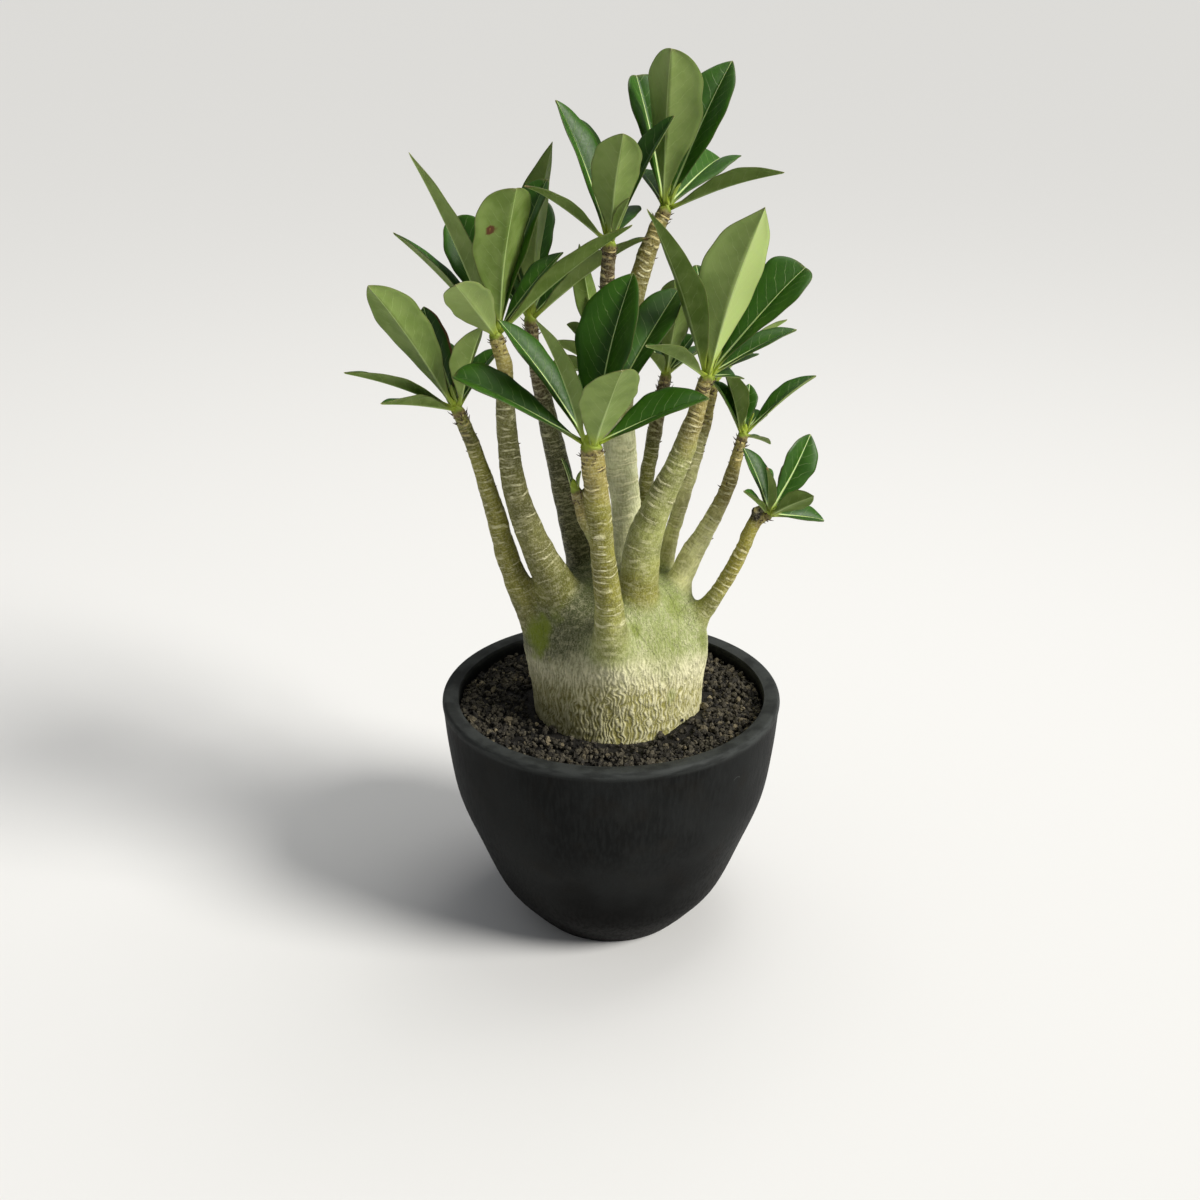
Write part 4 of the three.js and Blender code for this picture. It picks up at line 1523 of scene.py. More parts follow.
    def dressed(self, skin: Surface) -> Surface:
        """Raises the leaf scars, wrinkles and swellings, and marks the skin for its finish.

        Args:
            skin: The bare skin.

        Returns:
            The skin with its relief and marks.
        """
        places = skin.corners
        near = self.nearness(places)
        root = self.caudex.depth(places)
        stemness = smoothstep(root - near.depth, 0.0, self.stem_edge)
        tier, spacing, shown = self.tiers(places, near)
        shown = shown * smoothstep(stemness, 0.15, 0.6)
        off_ring = (tier - np.round(tier)) * spacing
        swell = np.exp(-((off_ring / self.scar_half) ** 2)) * shown * self.tier_relief
        above = places[:, 2] + 3.5 * self.band_edge.at(places) - self.border(places)
        in_band = 1.0 - smoothstep(above, *self.band_fade)
        comb = self.comb(places)
        sunward = self.sunward(places)
        wrinkled = np.maximum(in_band, 0.7 * (1.0 - smoothstep(above, *self.wrinkle_fade))) * (1.0 - stemness)
        # Painted light: the ridge mark is scaled by how lit each place is, and the fine net by how sunward it
        # is.
        least_lit = 0.35 + 0.25 * in_band
        lit = (least_lit + (1.0 - least_lit) * sunward) * (0.6 + 0.4 * in_band)
        lumps = self.coarse_height * self.coarse_lumps.at(places)
        lumps = lumps + self.fine_height * self.fine_lumps.at(places)
        on_stub = near.branch == list(self.branches).index("stub")
        torn = on_stub * smoothstep(-near.from_tip, *self.torn_reach)
        lumps = lumps + self.torn_height * torn * self.torn_fibres.at(places * [1.0, 1.0, 0.4])
        height = swell + lumps + self.comb_relief * wrinkled * (comb - 0.5)
        normals = outward(places, skin.faces)
        in_view = smoothstep(places[:, 2], *self.buried)
        corners = places + (height * in_view)[:, None] * normals
        near_tip = smoothstep(-near.from_tip, *self.tip_reach) * stemness
        marks = {
            "bark_tone": self.tones(places, near, stemness, in_band),
            "stem_place": np.column_stack([near.aside, near.along + 37.0 * near.branch]),
            "scar_place": np.column_stack([tier, spacing, shown]),
            "bark_marks": np.column_stack([near_tip, comb * wrinkled * lit, self.green(places)]),
            "bark_fine_sunward": (1.0 - in_band) * (1.0 - stemness) * (0.2 + 0.8 * sunward),
        }
        return Surface(corners, skin.faces, marks)

    def sunward(self, places: Array) -> Array:
        """How far each place is on the brighter, right side of the caudex."""
        return smoothstep(places[:, 0] + 9.0 * self.sun_edge.at(places), *self.sun_reach)

    def border(self, places: Array) -> Array:
        """The height where the wrinkled band ends: lowest at the sides, and higher to the front."""
        front = np.clip((self.caudex.middle[1] - places[:, 1]) / 46.0, 0.0, 1.0)
        return self.band_top + self.band_rise * front**1.5

    def comb(self, places: Array) -> Array:
        """The upright wavy wrinkles: 1 on a ridge and 0 in a furrow.

        A cosine of the turn about the axis makes the ridges, noise bends them, and cells of finer noise
        break them up.

        Args:
            places: Where the skin is.

        Returns:
            The share of each place.
        """
        turn = np.arctan2(places[:, 1] - self.caudex.middle[1], places[:, 0] - self.caudex.middle[0])
        phase = self.comb_count * turn / (2.0 * np.pi)
        phase = phase + 0.9 * self.comb_bend.at(places) + 0.75 * self.comb_waver.at(places * [1, 1, 0.8])
        cells = self.comb_cells.at(places * [1.0, 1.0, 0.5])
        return smoothstep(0.68 * np.cos(2.0 * np.pi * phase) + 0.92 * cells, -0.6, 0.7)

    def tiers(self, places: Array, near: Nearness) -> tuple[Array, Array, Array]:
        """The rings that old leaves have left, closer together towards the tip of a branch.

        The spacing grows in step with the distance from the tip, so the count of rings up to a place is a
        logarithm of that distance. Noise bends the rings, and noise of the turn and the ring's number
        leaves gaps in them.

        Args:
            places: Where the skin is.
            near: Where that is on the branches.

        Returns:
            The count at each place, the spacing there, and how far the nearest ring shows.
        """
        growth = self.tier_growth
        spacing = self.tier_least + growth * near.from_tip
        wander = 1.3 * self.tier_bend.at(places) + 0.5 * self.tier_waver.at(places)
        along = np.column_stack([near.from_tip / 9.0, 3.1 * near.branch, np.zeros(len(places))])
        count = np.log1p(growth * near.from_tip / self.tier_least) / growth + 0.8 * self.tier_pace.at(along)
        tier = count + wander / spacing
        turn = np.arctan2(near.aside[:, 1], near.aside[:, 0])
        own = 9.7 * np.round(tier) + 31.0 * near.branch
        ring = np.column_stack([1.5 * np.cos(turn), 1.5 * np.sin(turn), own])
        shown = smoothstep(self.tier_gaps.at(ring), -0.4, 0.3)
        scars = np.array([branch.scars for branch in self.branches.values()])[near.branch]
        scars = scars * (0.3 + 0.7 * smoothstep(near.along, *self.foot_heights))
        return tier, spacing, scars * shown * smoothstep(near.rival - near.depth, 0.3, 1.8)

    def tones(self, places: Array, near: Nearness, stemness: Array, in_band: Array) -> Array:
        """The skin's colour, with painted light on the caudex's right side and painted shade on its left.

        Args:
            places: The places.
            near: Where they lie on the branches.
            stemness: How much of a branch each is, from 0 on the caudex to 1.
            in_band: How far each is in the wrinkled band.

        Returns:
            A colour for each place.
        """
        branches = self.branches.values()
        tone, tip, foot = (
            np.array([getattr(branch, part).value for branch in branches])[near.branch]
            for part in ("tone", "tip_tone", "foot_tone")
        )
        length = np.array([branch.tip_length for branch in branches])[near.branch]
        wander = 5.0 * self.tone_edge.at(places)
        reach = length - near.from_tip + wander * np.minimum(1.0, length / 18.0)
        share = smoothstep(reach, -0.3 * length, 0.4 * length)
        leaving = smoothstep(near.along + wander, *self.foot_heights)[:, None]
        stem = foot + (tone - foot) * leaving
        stem = stem + (tip - stem) * share[:, None]
        stem = stem * (1.0 + 0.3 * self.tone_drift.at(places))[:, None]
        # Painted light and shade: above the band the caudex goes from the shade-side tone on the left to the
        # sun-side tone on the right, and the band is darker towards the left.
        right = self.sunward(places)[:, None]
        low, collar, shade, sun = (
            np.array(tone.value) for tone in (Tone.LOW_BAND, Tone.COLLAR, Tone.SHADE_SIDE, Tone.SUN_SIDE)
        )
        upper = shade + (sun - shade) * right
        near_border = smoothstep(places[:, 2] - self.border(places), *self.collar_heights)[:, None]
        band = (low + (collar - low) * near_border) * (0.62 + 0.38 * right)
        root = upper + (band - upper) * in_band[:, None]
        return root + (stem - root) * stemness[:, None]

    def green(self, places: Array) -> Array:
        """The bright green patches, which fade out round their middles.

        Args:
            places: The places.

        Returns:
            How green each one is.
        """
        share = np.zeros(len(places))
        ragged = 1.0 + 0.35 * self.green_edge.at(places)
        for x, y, z, radius, strength in self.caudex.green_patches:
            reach = np.linalg.norm((places - [x, y, z]) * [1.0, 1.0, 0.8], axis=1)
            share = np.maximum(share, strength * smoothstep(-reach * ragged, -radius, -0.35 * radius))
        return share


def surface_net(values: Array) -> tuple[Array, Array]:
    """Finds where a field on a grid is zero.

    Args:
        values: The field by x, y and z, negative inside.

    Returns:
        The corners in cells, and the faces.
    """
    inside = values < 0.0
    offsets = list(np.ndindex(2, 2, 2))
    size = np.array(values.shape) - 1

    def at_corner(grid: Array, offset: tuple[int, int, int]) -> Array:
        """The grid's values at one corner of every cell."""
        return grid[tuple(slice(o, o + n) for o, n in zip(offset, size))]

    filled = sum(at_corner(inside, offset).astype(np.int8) for offset in offsets)
    active = (filled > 0) & (filled < 8)
    cells = np.argwhere(active)
    index = np.full(size, -1)
    index[active] = np.arange(len(cells))
    total, count = np.zeros((len(cells), 3)), np.zeros(len(cells))
    for start, axis in ((start, axis) for start in offsets for axis in range(3) if not start[axis]):
        end = tuple(o + (axis == i) for i, o in enumerate(start))
        a, b = (at_corner(values, corner)[active].astype(float) for corner in (start, end))
        crossed = (a < 0.0) != (b < 0.0)
        share = np.where(crossed, a / np.where(crossed, a - b, 1.0), 0.0)
        crossing = np.array(start, float) + share[:, None] * np.eye(3)[axis]
        total += np.where(crossed[:, None], crossing, 0.0)
        count += crossed
    corners = cells + total / count[:, None]
    faces = []
    for axis in range(3):
        one, two = (axis + 1) % 3, (axis + 2) % 3
        lower = [slice(1, -1)] * 3
        lower[axis] = slice(0, -1)
        upper = list(lower)
        upper[axis] = slice(1, None)
        leaving = inside[tuple(lower)] & ~inside[tuple(upper)]
        entering = ~inside[tuple(lower)] & inside[tuple(upper)]
        for crossed, turn in ((leaving, 1), (entering, -1)):
            edge = np.argwhere(crossed) + [int(i != axis) for i in range(3)]
            ring = []
            for back_one, back_two in ((0, 0), (1, 0), (1, 1), (0, 1))[::turn]:
                cell = edge.copy()
                cell[:, one] -= back_one
                cell[:, two] -= back_two
                ring.append(index[tuple(cell.T)])
            faces.append(np.stack(ring, axis=-1))
    return corners, np.vstack(faces)


def summed(index: Array, vectors: Array, size: int) -> Array:
    """The sum of the vectors that have each index."""
    return np.stack([np.bincount(index, part, size) for part in vectors.T], axis=-1)


def even_out(corners: Array, faces: Array) -> Array:
    """Moves each corner half way to the mean of the corners it shares an edge with.

    Args:
        corners: The corners.
        faces: The faces, of four corners each.

    Returns:
        The moved corners.
    """
    start, end = faces.ravel(), np.roll(faces, -1, axis=1).ravel()
    size = len(corners)
    total = summed(start, corners[end], size) + summed(end, corners[start], size)
    count = np.bincount(start, minlength=size) + np.bincount(end, minlength=size)
    return 0.5 * (corners + total / count[:, None])


def read_grid(values: Array, places: Array) -> Array:
    """Reads a grid between its points, with straight weights along each axis.

    Args:
        values: The grid, by x, y and z.
        places: Places in cells, one to a row.

    Returns:
        The value at each place.
    """
    places = np.clip(places, 0.0, np.array(values.shape) - INSIDE_LAST)
    base = np.floor(places).astype(int)
    share = places - base
    total = np.zeros(len(places))
    for corner in np.ndindex(2, 2, 2):
        weight = np.prod(np.where(corner, share, 1.0 - share), axis=-1)
        total += weight * values[tuple((base + corner).T)]
    return total


def drawn_to_surface(values: Array, corners: Array) -> Array:
    """Moves corners onto a field's zero: along its slope, by its value over the slope squared.

    Args:
        values: The field, by x, y and z.
        corners: Places in cells.

    Returns:
        The moved corners.
    """
    value = read_grid(values, corners)
    slope = np.stack(
        [
            read_grid(values, corners + 0.5 * step) - read_grid(values, corners - 0.5 * step)
            for step in np.eye(3)
        ],
        axis=-1,
    )
    steep = np.maximum(np.sum(slope**2, axis=1), 0.05)
    return corners - np.clip(value / steep, -1.0, 1.0)[:, None] * slope


def outward(corners: Array, faces: Faces) -> Array:
    """The normal at each corner: the mean of its faces' normals, from their diagonals.

    Args:
        corners: The corners.
        faces: The faces, of three or four corners each.

    Returns:
        The normals.
    """
    quads = np.array([face if len(face) == 4 else [*face, face[-1]] for face in faces])
    first, second, third, fourth = (corners[quads[:, i]] for i in range(4))
    normal = np.repeat(np.cross(third - first, fourth - second), 4, axis=0)
    total = summed(quads.ravel(), normal, len(corners))
    return total / np.maximum(np.linalg.norm(total, axis=1, keepdims=True), 1e-9)


# ---- The leaf heads


class Outline(Enum):
    """The outlines of the blades: the power of the place along one, and the power of what is left of it."""

    OVAL = (1.0, 0.62)
    ROUND = (1.55, 0.42)
    BLUNT = (1.5, 0.6)
    ACUTE = (1.6, 0.9)
    SHARP = (1.6, 1.15)
    LANCE = (1.2, 1.3)


class Trait(Enum):
    """What sets a leaf apart from the others."""

    SOUND = "sound"
    DRY_TIP = "a thin dry tip"
    SPOTTED = "one brown spot"
    RED_EDGED = "dark, with a red margin"
    # Painted light: these leaves are painted paler, as if in the sun.
    SUNLIT = "paler than the others"
    # Painted light: these leaves are painted palest underneath, most of all on one half.
    SUNLIT_HALF = "the palest underneath, most of all on one half"


@dataclass(frozen=True)
class Leaf:
    """A leaf: it reaches from its head to (x, y, z), is so wide, and is twisted by so many degrees.

    Attributes:
        x: How far it reaches to the right.
        y: How far it reaches to the back.
        z: How far it reaches up.
        width: How wide it is.
        twist: How far it is turned about its midrib.
        outline: The shape of its blade.
        trait: What sets it apart.
        arch: How much it arches, as a share of what the others do.
        fold: How much it folds along its midrib, as a share of what the others do.
    """

    x: float
    y: float
    z: float
    width: float
    twist: float = 0.0
    outline: Outline = Outline.BLUNT
    trait: Trait = Trait.SOUND
    arch: float = 1.0
    fold: float = 1.0


OVAL, ROUND, BLUNT, ACUTE, SHARP, LANCE = Outline
SOUND, DRY, SPOT, RED, PALE, SUNLIT_HALF = Trait

LEAVES = {
    "far_left": (
        Leaf(-35, -22, 64, 23, -25, ACUTE), Leaf(-15, 16, 44, 16, 15, ACUTE, RED),
        Leaf(-48, -28, 24, 14, -10, SHARP), Leaf(-31, -34, 10, 14, -12, SHARP),
        Leaf(15, -12, 41, 20, 18, ACUTE), Leaf(20, 22, 21, 14), Leaf(-12, 38, 20, 16), Leaf(3, 34, 8, 15),
    ),
    "left_front": (
        Leaf(-35, -10, 83, 16, -17, LANCE), Leaf(-47, 14, 43, 14, -16, SHARP), Leaf(-18, 26, 48, 23, -5),
        Leaf(-13, -44, 31, 20, -22, OVAL, PALE, fold=0.4), Leaf(13, -16, 68, 30, 25, BLUNT, SPOT),
        Leaf(25, 18, 67, 26, -10), Leaf(32, 24, 32, 14, 0, ACUTE), Leaf(65, -12, 51, 18, 25, SHARP),
        Leaf(1, 44, 38, 20), Leaf(-20, 40, 8, 18),
    ),
    "left_back": (
        Leaf(58, -18, 43, 20, 18, SHARP, DRY), Leaf(25, 14, 19, 16, 0, ACUTE),
        Leaf(11, -8, 85, 20, 18, SHARP, PALE), Leaf(-13, 30, 36, 18), Leaf(4, 34, 50, 20),
        Leaf(-22, 22, 17, 16), Leaf(14, 42, 17, 17), Leaf(-8, 52, 2, 18),
    ),
    "front": (
        Leaf(-63, 10, 28, 25, 6, ROUND), Leaf(-43, 20, 51, 18, -5, ACUTE), Leaf(-23, -8, 59, 16, -30, SHARP),
        Leaf(14, -38, 44, 26, 16, OVAL, PALE, fold=0.4), Leaf(55, 12, 17, 26, -8, ACUTE),
        Leaf(19, 22, 73, 33, 0, ACUTE), Leaf(42, 56, 57, 22), Leaf(2, 36, 24, 16),
    ),
    "crown_left": (
        Leaf(-25, 14, 60, 20, 0, ACUTE), Leaf(-16, 32, 50, 17, -15), Leaf(6, -24, 50, 23, 0, ACUTE),
        Leaf(30, 6, 54, 19, -5, ACUTE), Leaf(-38, -22, 28, 11, -18, SHARP, DRY), Leaf(-4, 38, 26, 16),
        Leaf(9, 42, 6, 16), Leaf(9, -12, 20, 7, 0, SHARP),
    ),
    "crown_top": (
        Leaf(0, -18, 72, 29.5, 0, BLUNT, PALE, -0.7, 1.2), Leaf(-16, 14, 57, 26, 50, ROUND),
        Leaf(30, 20, 64, 24, -13, ACUTE), Leaf(28, 50, 15, 30, 0, ROUND, PALE),
        Leaf(54, -12, 17, 15, 10, SHARP), Leaf(-9, 22, 36, 14), Leaf(3, 42, 36, 18), Leaf(-14, 44, 10, 18),
    ),
    "crown_back": (
        Leaf(-12, 18, 58, 12, -35, SHARP), Leaf(-12, 18, 30, 20), Leaf(-18, 2, 21, 14, 20),
        Leaf(-27, -16, 17, 12, 15, SHARP, DRY), Leaf(-26, 6, -3, 14, -25), Leaf(8, 32, 24, 17),
    ),
    "back": (
        Leaf(5, -22, 41, 16), Leaf(14, 10, 15, 13), Leaf(22, 22, 6, 13, 12), Leaf(-11, -10, 12, 11, 3, SHARP),
        Leaf(3, -13, 50, 19, 10, ACUTE), Leaf(-16, 32, 16, 16), Leaf(4, 40, 18, 16),
    ),
    "right_front": (
        Leaf(-29, -16, 80, 20, -20, LANCE), Leaf(22, -18, 80, 32, 0, SHARP, SUNLIT_HALF, fold=1.2),
        Leaf(45, 14, 47, 27, -18, ROUND), Leaf(43, 18, 15, 15, 0, ACUTE), Leaf(24, 29, 1, 14, 5),
        Leaf(15, 22, -9, 12, -15, ROUND, PALE),
        Leaf(-31, -38, 23, 14, -18, SHARP), Leaf(8, 36, 27, 18), Leaf(-4, 34, 22, 16),
    ),
    "right_back": (
        Leaf(-9, 22, 53, 18), Leaf(29, 16, 51, 20, 0, ACUTE), Leaf(38, 26, 25, 11, 40, SHARP),
        Leaf(14, 34, 15, 16), Leaf(-6, -12, 28, 12, 0, SHARP),
    ),
    "right": (
        Leaf(-16, 3, 25, 13, 25, ACUTE), Leaf(-11, -4, 33, 16, -10, SHARP, DRY),
        Leaf(36, 14, 25, 15, 0, ACUTE), Leaf(15, 14, -12, 6, 0, SHARP), Leaf(11, 22, 3, 9),
        Leaf(3, 14, 20, 9, 0, ACUTE), Leaf(-6, 32, 8, 12),
    ),
    "far_right": (
        Leaf(-15, 14, 29, 15, 20, ACUTE), Leaf(-4, -6, 26, 12, 0, SHARP, DRY),
        Leaf(19, 18, 35, 17, 31, ACUTE), Leaf(17, -20, 16, 11, 0, SHARP), Leaf(27, 8, -7, 13, 0, ACUTE),
        Leaf(-16, -10, 15, 9, -10, SHARP), Leaf(12, 30, 14, 13),
    ),
    "bud": (Leaf(-6, 1, 13, 4, 0, SHARP), Leaf(3, -3, 8, 3, 0, SHARP)),
}


@dataclass(frozen=True)
class LeafForm:
    """What every blade shares: its thickness, its fold along the midrib, and how far its margin waves."""

    edge: float = 0.45
    middle: float = 0.95
    fold_at_rib: float = 0.78
    fold_lost: float = 0.34
    arch: float = 0.032
    wave_share: float = 0.024
    wave_left: float = 15.0
    wave_right: float = 14.0
    petiole_width: float = 2.3
    petiole_thickness: float = 1.7
    petiole_clasp: float = 0.5
    petiole_end: float = 0.05
    blade_full: float = 0.3
    keel: float = 0.55
    groove: float = 0.25
    stations: int = 42
    columns: int = 14
    vein_gap: float = 6.2

    def steps(self) -> tuple[Array, Array, Array]:
        """The grid of a blade.

        Returns:
            The places along it, which crowd towards the tip, and for each step round it the place across
            and the side: 1 for the upper face, 0 for the margin and -1 for the under face.
        """
        share = np.linspace(0.0, 1.0, self.stations)
        along = 1.0 - (1.0 - share) ** 1.6
        row = np.linspace(-1.0, 1.0, self.columns + 1)
        row = np.sign(row) * np.abs(row) ** 1.2
        across = np.concatenate([row, [1.0], row[::-1], [-1.0]])
        side = np.concatenate([np.ones_like(row), [0.0], -np.ones_like(row), [0.0]])
        return along, across, side

    @staticmethod
    def each(leaves: tuple[Leaf, ...], measure: str) -> Array:
        """One measure of each leaf, a leaf to a row."""
        return np.array([getattr(leaf, measure) for leaf in leaves])[:, None]

    def half_width(self, leaves: tuple[Leaf, ...], along: Array) -> Array:
        """Half the width of each leaf along it, never less than the petiole's.

        The outline is the place to one power times what is left to another, as a share of its peak. The
        petiole narrows from where it clasps the stem.

        Args:
            leaves: The leaves.
            along: The places along a blade.

        Returns:
            Half the width, by leaf and place.
        """
        rise, fall = np.array([leaf.outline.value for leaf in leaves]).T[:, :, None]
        widest = rise / (rise + fall)
        outline = (along / widest) ** rise * ((1.0 - along) / (1.0 - widest)) ** fall
        width = self.each(leaves, "width")
        clasp = 1.0 + self.petiole_clasp * (1.0 - smoothstep(along, 0.0, 0.12))
        petiole = np.minimum(self.petiole_width, 0.25 * width + 0.3) * clasp * (1.0 - along)
        half = 0.5 * np.maximum(width * outline, petiole)
        half[:, -1] = 0.05
        return half


@dataclass(frozen=True)
class LeafHead:
    """The leaves on one branch's tip, with the fresh green growing tip that they stand on."""

    name: str
    branch: Branch
    leaves: tuple[Leaf, ...]
    form: LeafForm = LeafForm()
    clearance: float = 0.3
    tip_length: float = 9.0
    full_radius: float = 3.3
    heart_height: float = 0.6
    root_out: float = 0.62
    root_drop: float = 0.38
    root_climb: float = 0.25
    skyward: float = 0.2
    young_leaves: int = 2
    taper: tuple = ((0.0, 0.12, 0.35, 0.65, 0.88, 1.0), (1.0, 0.98, 0.76, 0.55, 0.34, 0.1))

    def footing(self) -> tuple[Array, Array, float, float, Array]:
        """Where the head stands.

        Returns:
            Its foot, its direction, its radius, its tip's length, and its heart, where the leaves meet.
        """
        line = np.array(self.branch.line, float)
        axis = unit(line[-1, :3] - line[-2, :3])
        radius = line[-1, 3]
        length = self.tip_length * min(1.0, radius / self.full_radius)
        foot = line[-1, :3] + self.clearance * axis
        return foot, axis, radius, length, foot + self.heart_height * length * axis

    def build(self, finishes: list[Material]) -> Piece:
        """Makes the head.

        Args:
            finishes: The leaf skin and the dried scale.

        Returns:
            The head, as one piece.
        """
        seed = sum(ord(letter) for letter in self.name)
        parts = [self.blades(self.leaves, seed), self.growing_tip(), self.scales(seed)]
        if self.name != "bud":
            parts.append(self.blades(self.young(seed), seed + 1, fresh=0.5))
        whole, finish_of = Surface.joined(parts)
        piece = whole.as_piece(f"head_{self.name}", "leaf", finishes, finish_of)
        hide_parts(f"leaves_{self.name}")
        return piece

    def young(self, seed: int) -> tuple[Leaf, ...]:
        """The young leaves that stand in the heart, about the head's direction.

        Args:
            seed: Chooses their turns and lengths.

        Returns:
            The leaves.
        """
        _, axis, _, length, _ = self.footing()
        random = np.random.default_rng(seed)
        turn = random.uniform(0.0, 2.0 * np.pi) + even_turns(self.young_leaves)
        lean = around(turn, *sides_of(axis, np.array([1.0, 0.3, 0.0])))
        reach = 0.3 * length * lean + length * random.uniform(0.8, 1.3, self.young_leaves)[:, None] * axis
        return tuple(Leaf(x, y, z, 0.28 * length, 0, SHARP) for x, y, z in reach)

    def blades(self, leaves: tuple[Leaf, ...], seed: int, fresh: float = 0.0) -> Surface:
        """Works all of a head's blades out at once.

        A blade's midrib is a quadratic curve from its root to its tip, and its middle rises by the arch.
        Across it, the blade rises by a share of the distance from the midrib, less a share of that
        distance squared over the half width, so it folds at the midrib and flattens to the margin. Near
        the margin a sine wave is added. Round its midrib the blade turns a little more all along.

        Args:
            leaves: The leaves.
            seed: Chooses how each bows and how pale it is.
            fresh: How far they are from green to the colour of new growth.

        Returns:
            The blades, marked for their finish.
        """
        form = self.form
        count = len(leaves)
        _, axis, radius, length, heart = self.footing()
        random = np.random.default_rng(seed)
        reach = np.array([(leaf.x, leaf.y, leaf.z) for leaf in leaves], float)
        width = form.each(leaves, "width")
        span = np.linalg.norm(reach, axis=1)
        direction = unit(reach)
        steep = np.maximum(0.0, direction @ axis)[:, None]
        root = heart + self.root_out * radius * square_to(axis, direction)
        root = root + length * (self.root_climb * steep - self.root_drop) * axis
        tip = heart + reach
        upper = square_to(direction, axis + self.skyward * (UP - axis))
        twist = -np.radians(form.each(leaves, "twist"))
        upper = upper * np.cos(twist) + np.cross(direction, upper) * np.sin(twist)
        arch = form.arch * form.each(leaves, "arch") * span[:, None]
        bend = 0.5 * (root + tip) + 2.0 * arch * upper

        along, across, face = form.steps()
        share = along[None, :, None]
        rest = 1 - share
        middle = rest**2 * root[:, None] + 2 * share * rest * bend[:, None] + share**2 * tip[:, None]
        forward = unit(rest * (bend - root)[:, None] + share * (tip - bend)[:, None])
        normal = square_to(forward, upper[:, None])
        side = np.cross(forward, normal)
        roll = (random.uniform(-0.22, 0.22, (count, 1)) * along)[..., None]
        cos, sin = np.cos(roll), np.sin(roll)
        normal, side = normal * cos + side * sin, side * cos - normal * sin
        bow = random.uniform(-0.012, 0.012, count) * span
        middle = middle + (bow[:, None] * np.sin(np.pi * along) ** 2)[..., None] * side
        dry = np.array([leaf.trait is DRY for leaf in leaves])
        curl = (random.uniform(-0.03, 0.01, count) * span)[:, None] * along**4
        curl = curl - (0.025 * dry * span)[:, None] * along**12
        middle = middle + curl[..., None] * normal

        petiole = 1.0 - smoothstep(along, form.petiole_end, form.blade_full)
        half = form.half_width(leaves, along)
        turn = 2.0 * np.pi * random.uniform(0.0, 1.0, (4, count, 1))
        slow, quick = 0.035 * np.sin(13.0 * along + turn[:2]), 0.022 * np.sin(31.0 * along + turn[2:])
        uneven = 1.0 + (1.0 - petiole) * (slow + quick)
        share_wide = np.minimum(2.0 * half / width, 1.0)
        wave = form.wave_share * width * random.uniform(0.5, 1.2, (count, 1)) * share_wide * (1.0 - petiole)
        pace = np.clip(span / 75.0, 0.5, 1.1)[:, None]
        phase = np.arange(count)[:, None]
        left = wave * np.sin(form.wave_left * pace * along + phase)
        right = wave * np.sin(form.wave_right * pace * along + 2 * phase)

        on_left = across < 0.0
        off = np.abs(across)
        broad = half[..., None] * np.where(on_left, uneven[0][..., None], uneven[1][..., None])
        from_rib = off * broad
        fold = form.each(leaves, "fold")[:, None]
        rise = fold * (form.fold_at_rib * from_rib - form.fold_lost * from_rib * off)
        rise = rise + np.where(on_left, left[..., None], right[..., None]) * off**1.8
        blade_thick = form.edge + (form.middle - form.edge) * (1.0 - off) ** 1.5
        round_thick = form.petiole_thickness * np.sqrt(1.0 - 0.75 * off**2)
        thick = blade_thick + (round_thick - blade_thick) * petiole[None, :, None]
        thick = np.minimum(thick, 0.35 + 1.6 * half[..., None])
        body = (1.0 - petiole)[None, :, None] * (1.0 - along[None, :, None]) ** 0.4
        rib = np.exp(-((from_rib / 0.9) ** 2)) * body * np.minimum(width / 12.0, 1.0)[..., None]
        lift = np.where(face > 0, 0.5 * thick - form.groove * rib, 0.0)
        lift = np.where(face < 0, -0.5 * thick - form.keel * rib, lift)
        nose = np.where(face == 0, np.sign(across) * 0.45 * form.edge, 0.0)
        rings = middle[:, :, None] + (np.sign(across) * from_rib + nose)[..., None] * side[:, :, None]
        rings = rings + (rise + lift)[..., None] * normal[:, :, None]

        corners, faces = tubes(rings)
        marks = self.blade_marks(leaves, span, broad, along, across, face, random, fresh)
        return Surface(corners, faces, marks)

    def blade_marks(
        self,
        leaves: tuple[Leaf, ...],
        span: Array,
        broad: Array,
        along: Array,
        across: Array,
        face: Array,
        random: np.random.Generator,
        fresh: float,
    ) -> dict[str, Array]:
        """Marks the blades for their finish.

        Args:
            leaves: The leaves.
            span: How long each is.
            broad: Half the width of each along and across it.
            along: The places along a blade.
            across: The places across it.
            face: Which face each step round it is on.
            random: Draws how pale each leaf is.
            fresh: How far they are from green to the colour of new growth.

        Returns:
            The marks, by name.
        """
        shape = (len(leaves), len(along), len(across))
        along_all = np.broadcast_to(along[None, :, None], shape)
        across_all = np.broadcast_to(across[None, None], shape)
        from_rib = np.abs(across_all) * broad
        phase = along_all * span[:, None, None] / self.form.vein_gap - 0.15 * from_rib - 0.006 * from_rib**2
        phase = phase + 0.5 * (across_all > 0.0)

        def only(trait: Trait) -> Array:
            """Which leaves have the trait."""
            return np.array([leaf.trait is trait for leaf in leaves])[:, None, None]

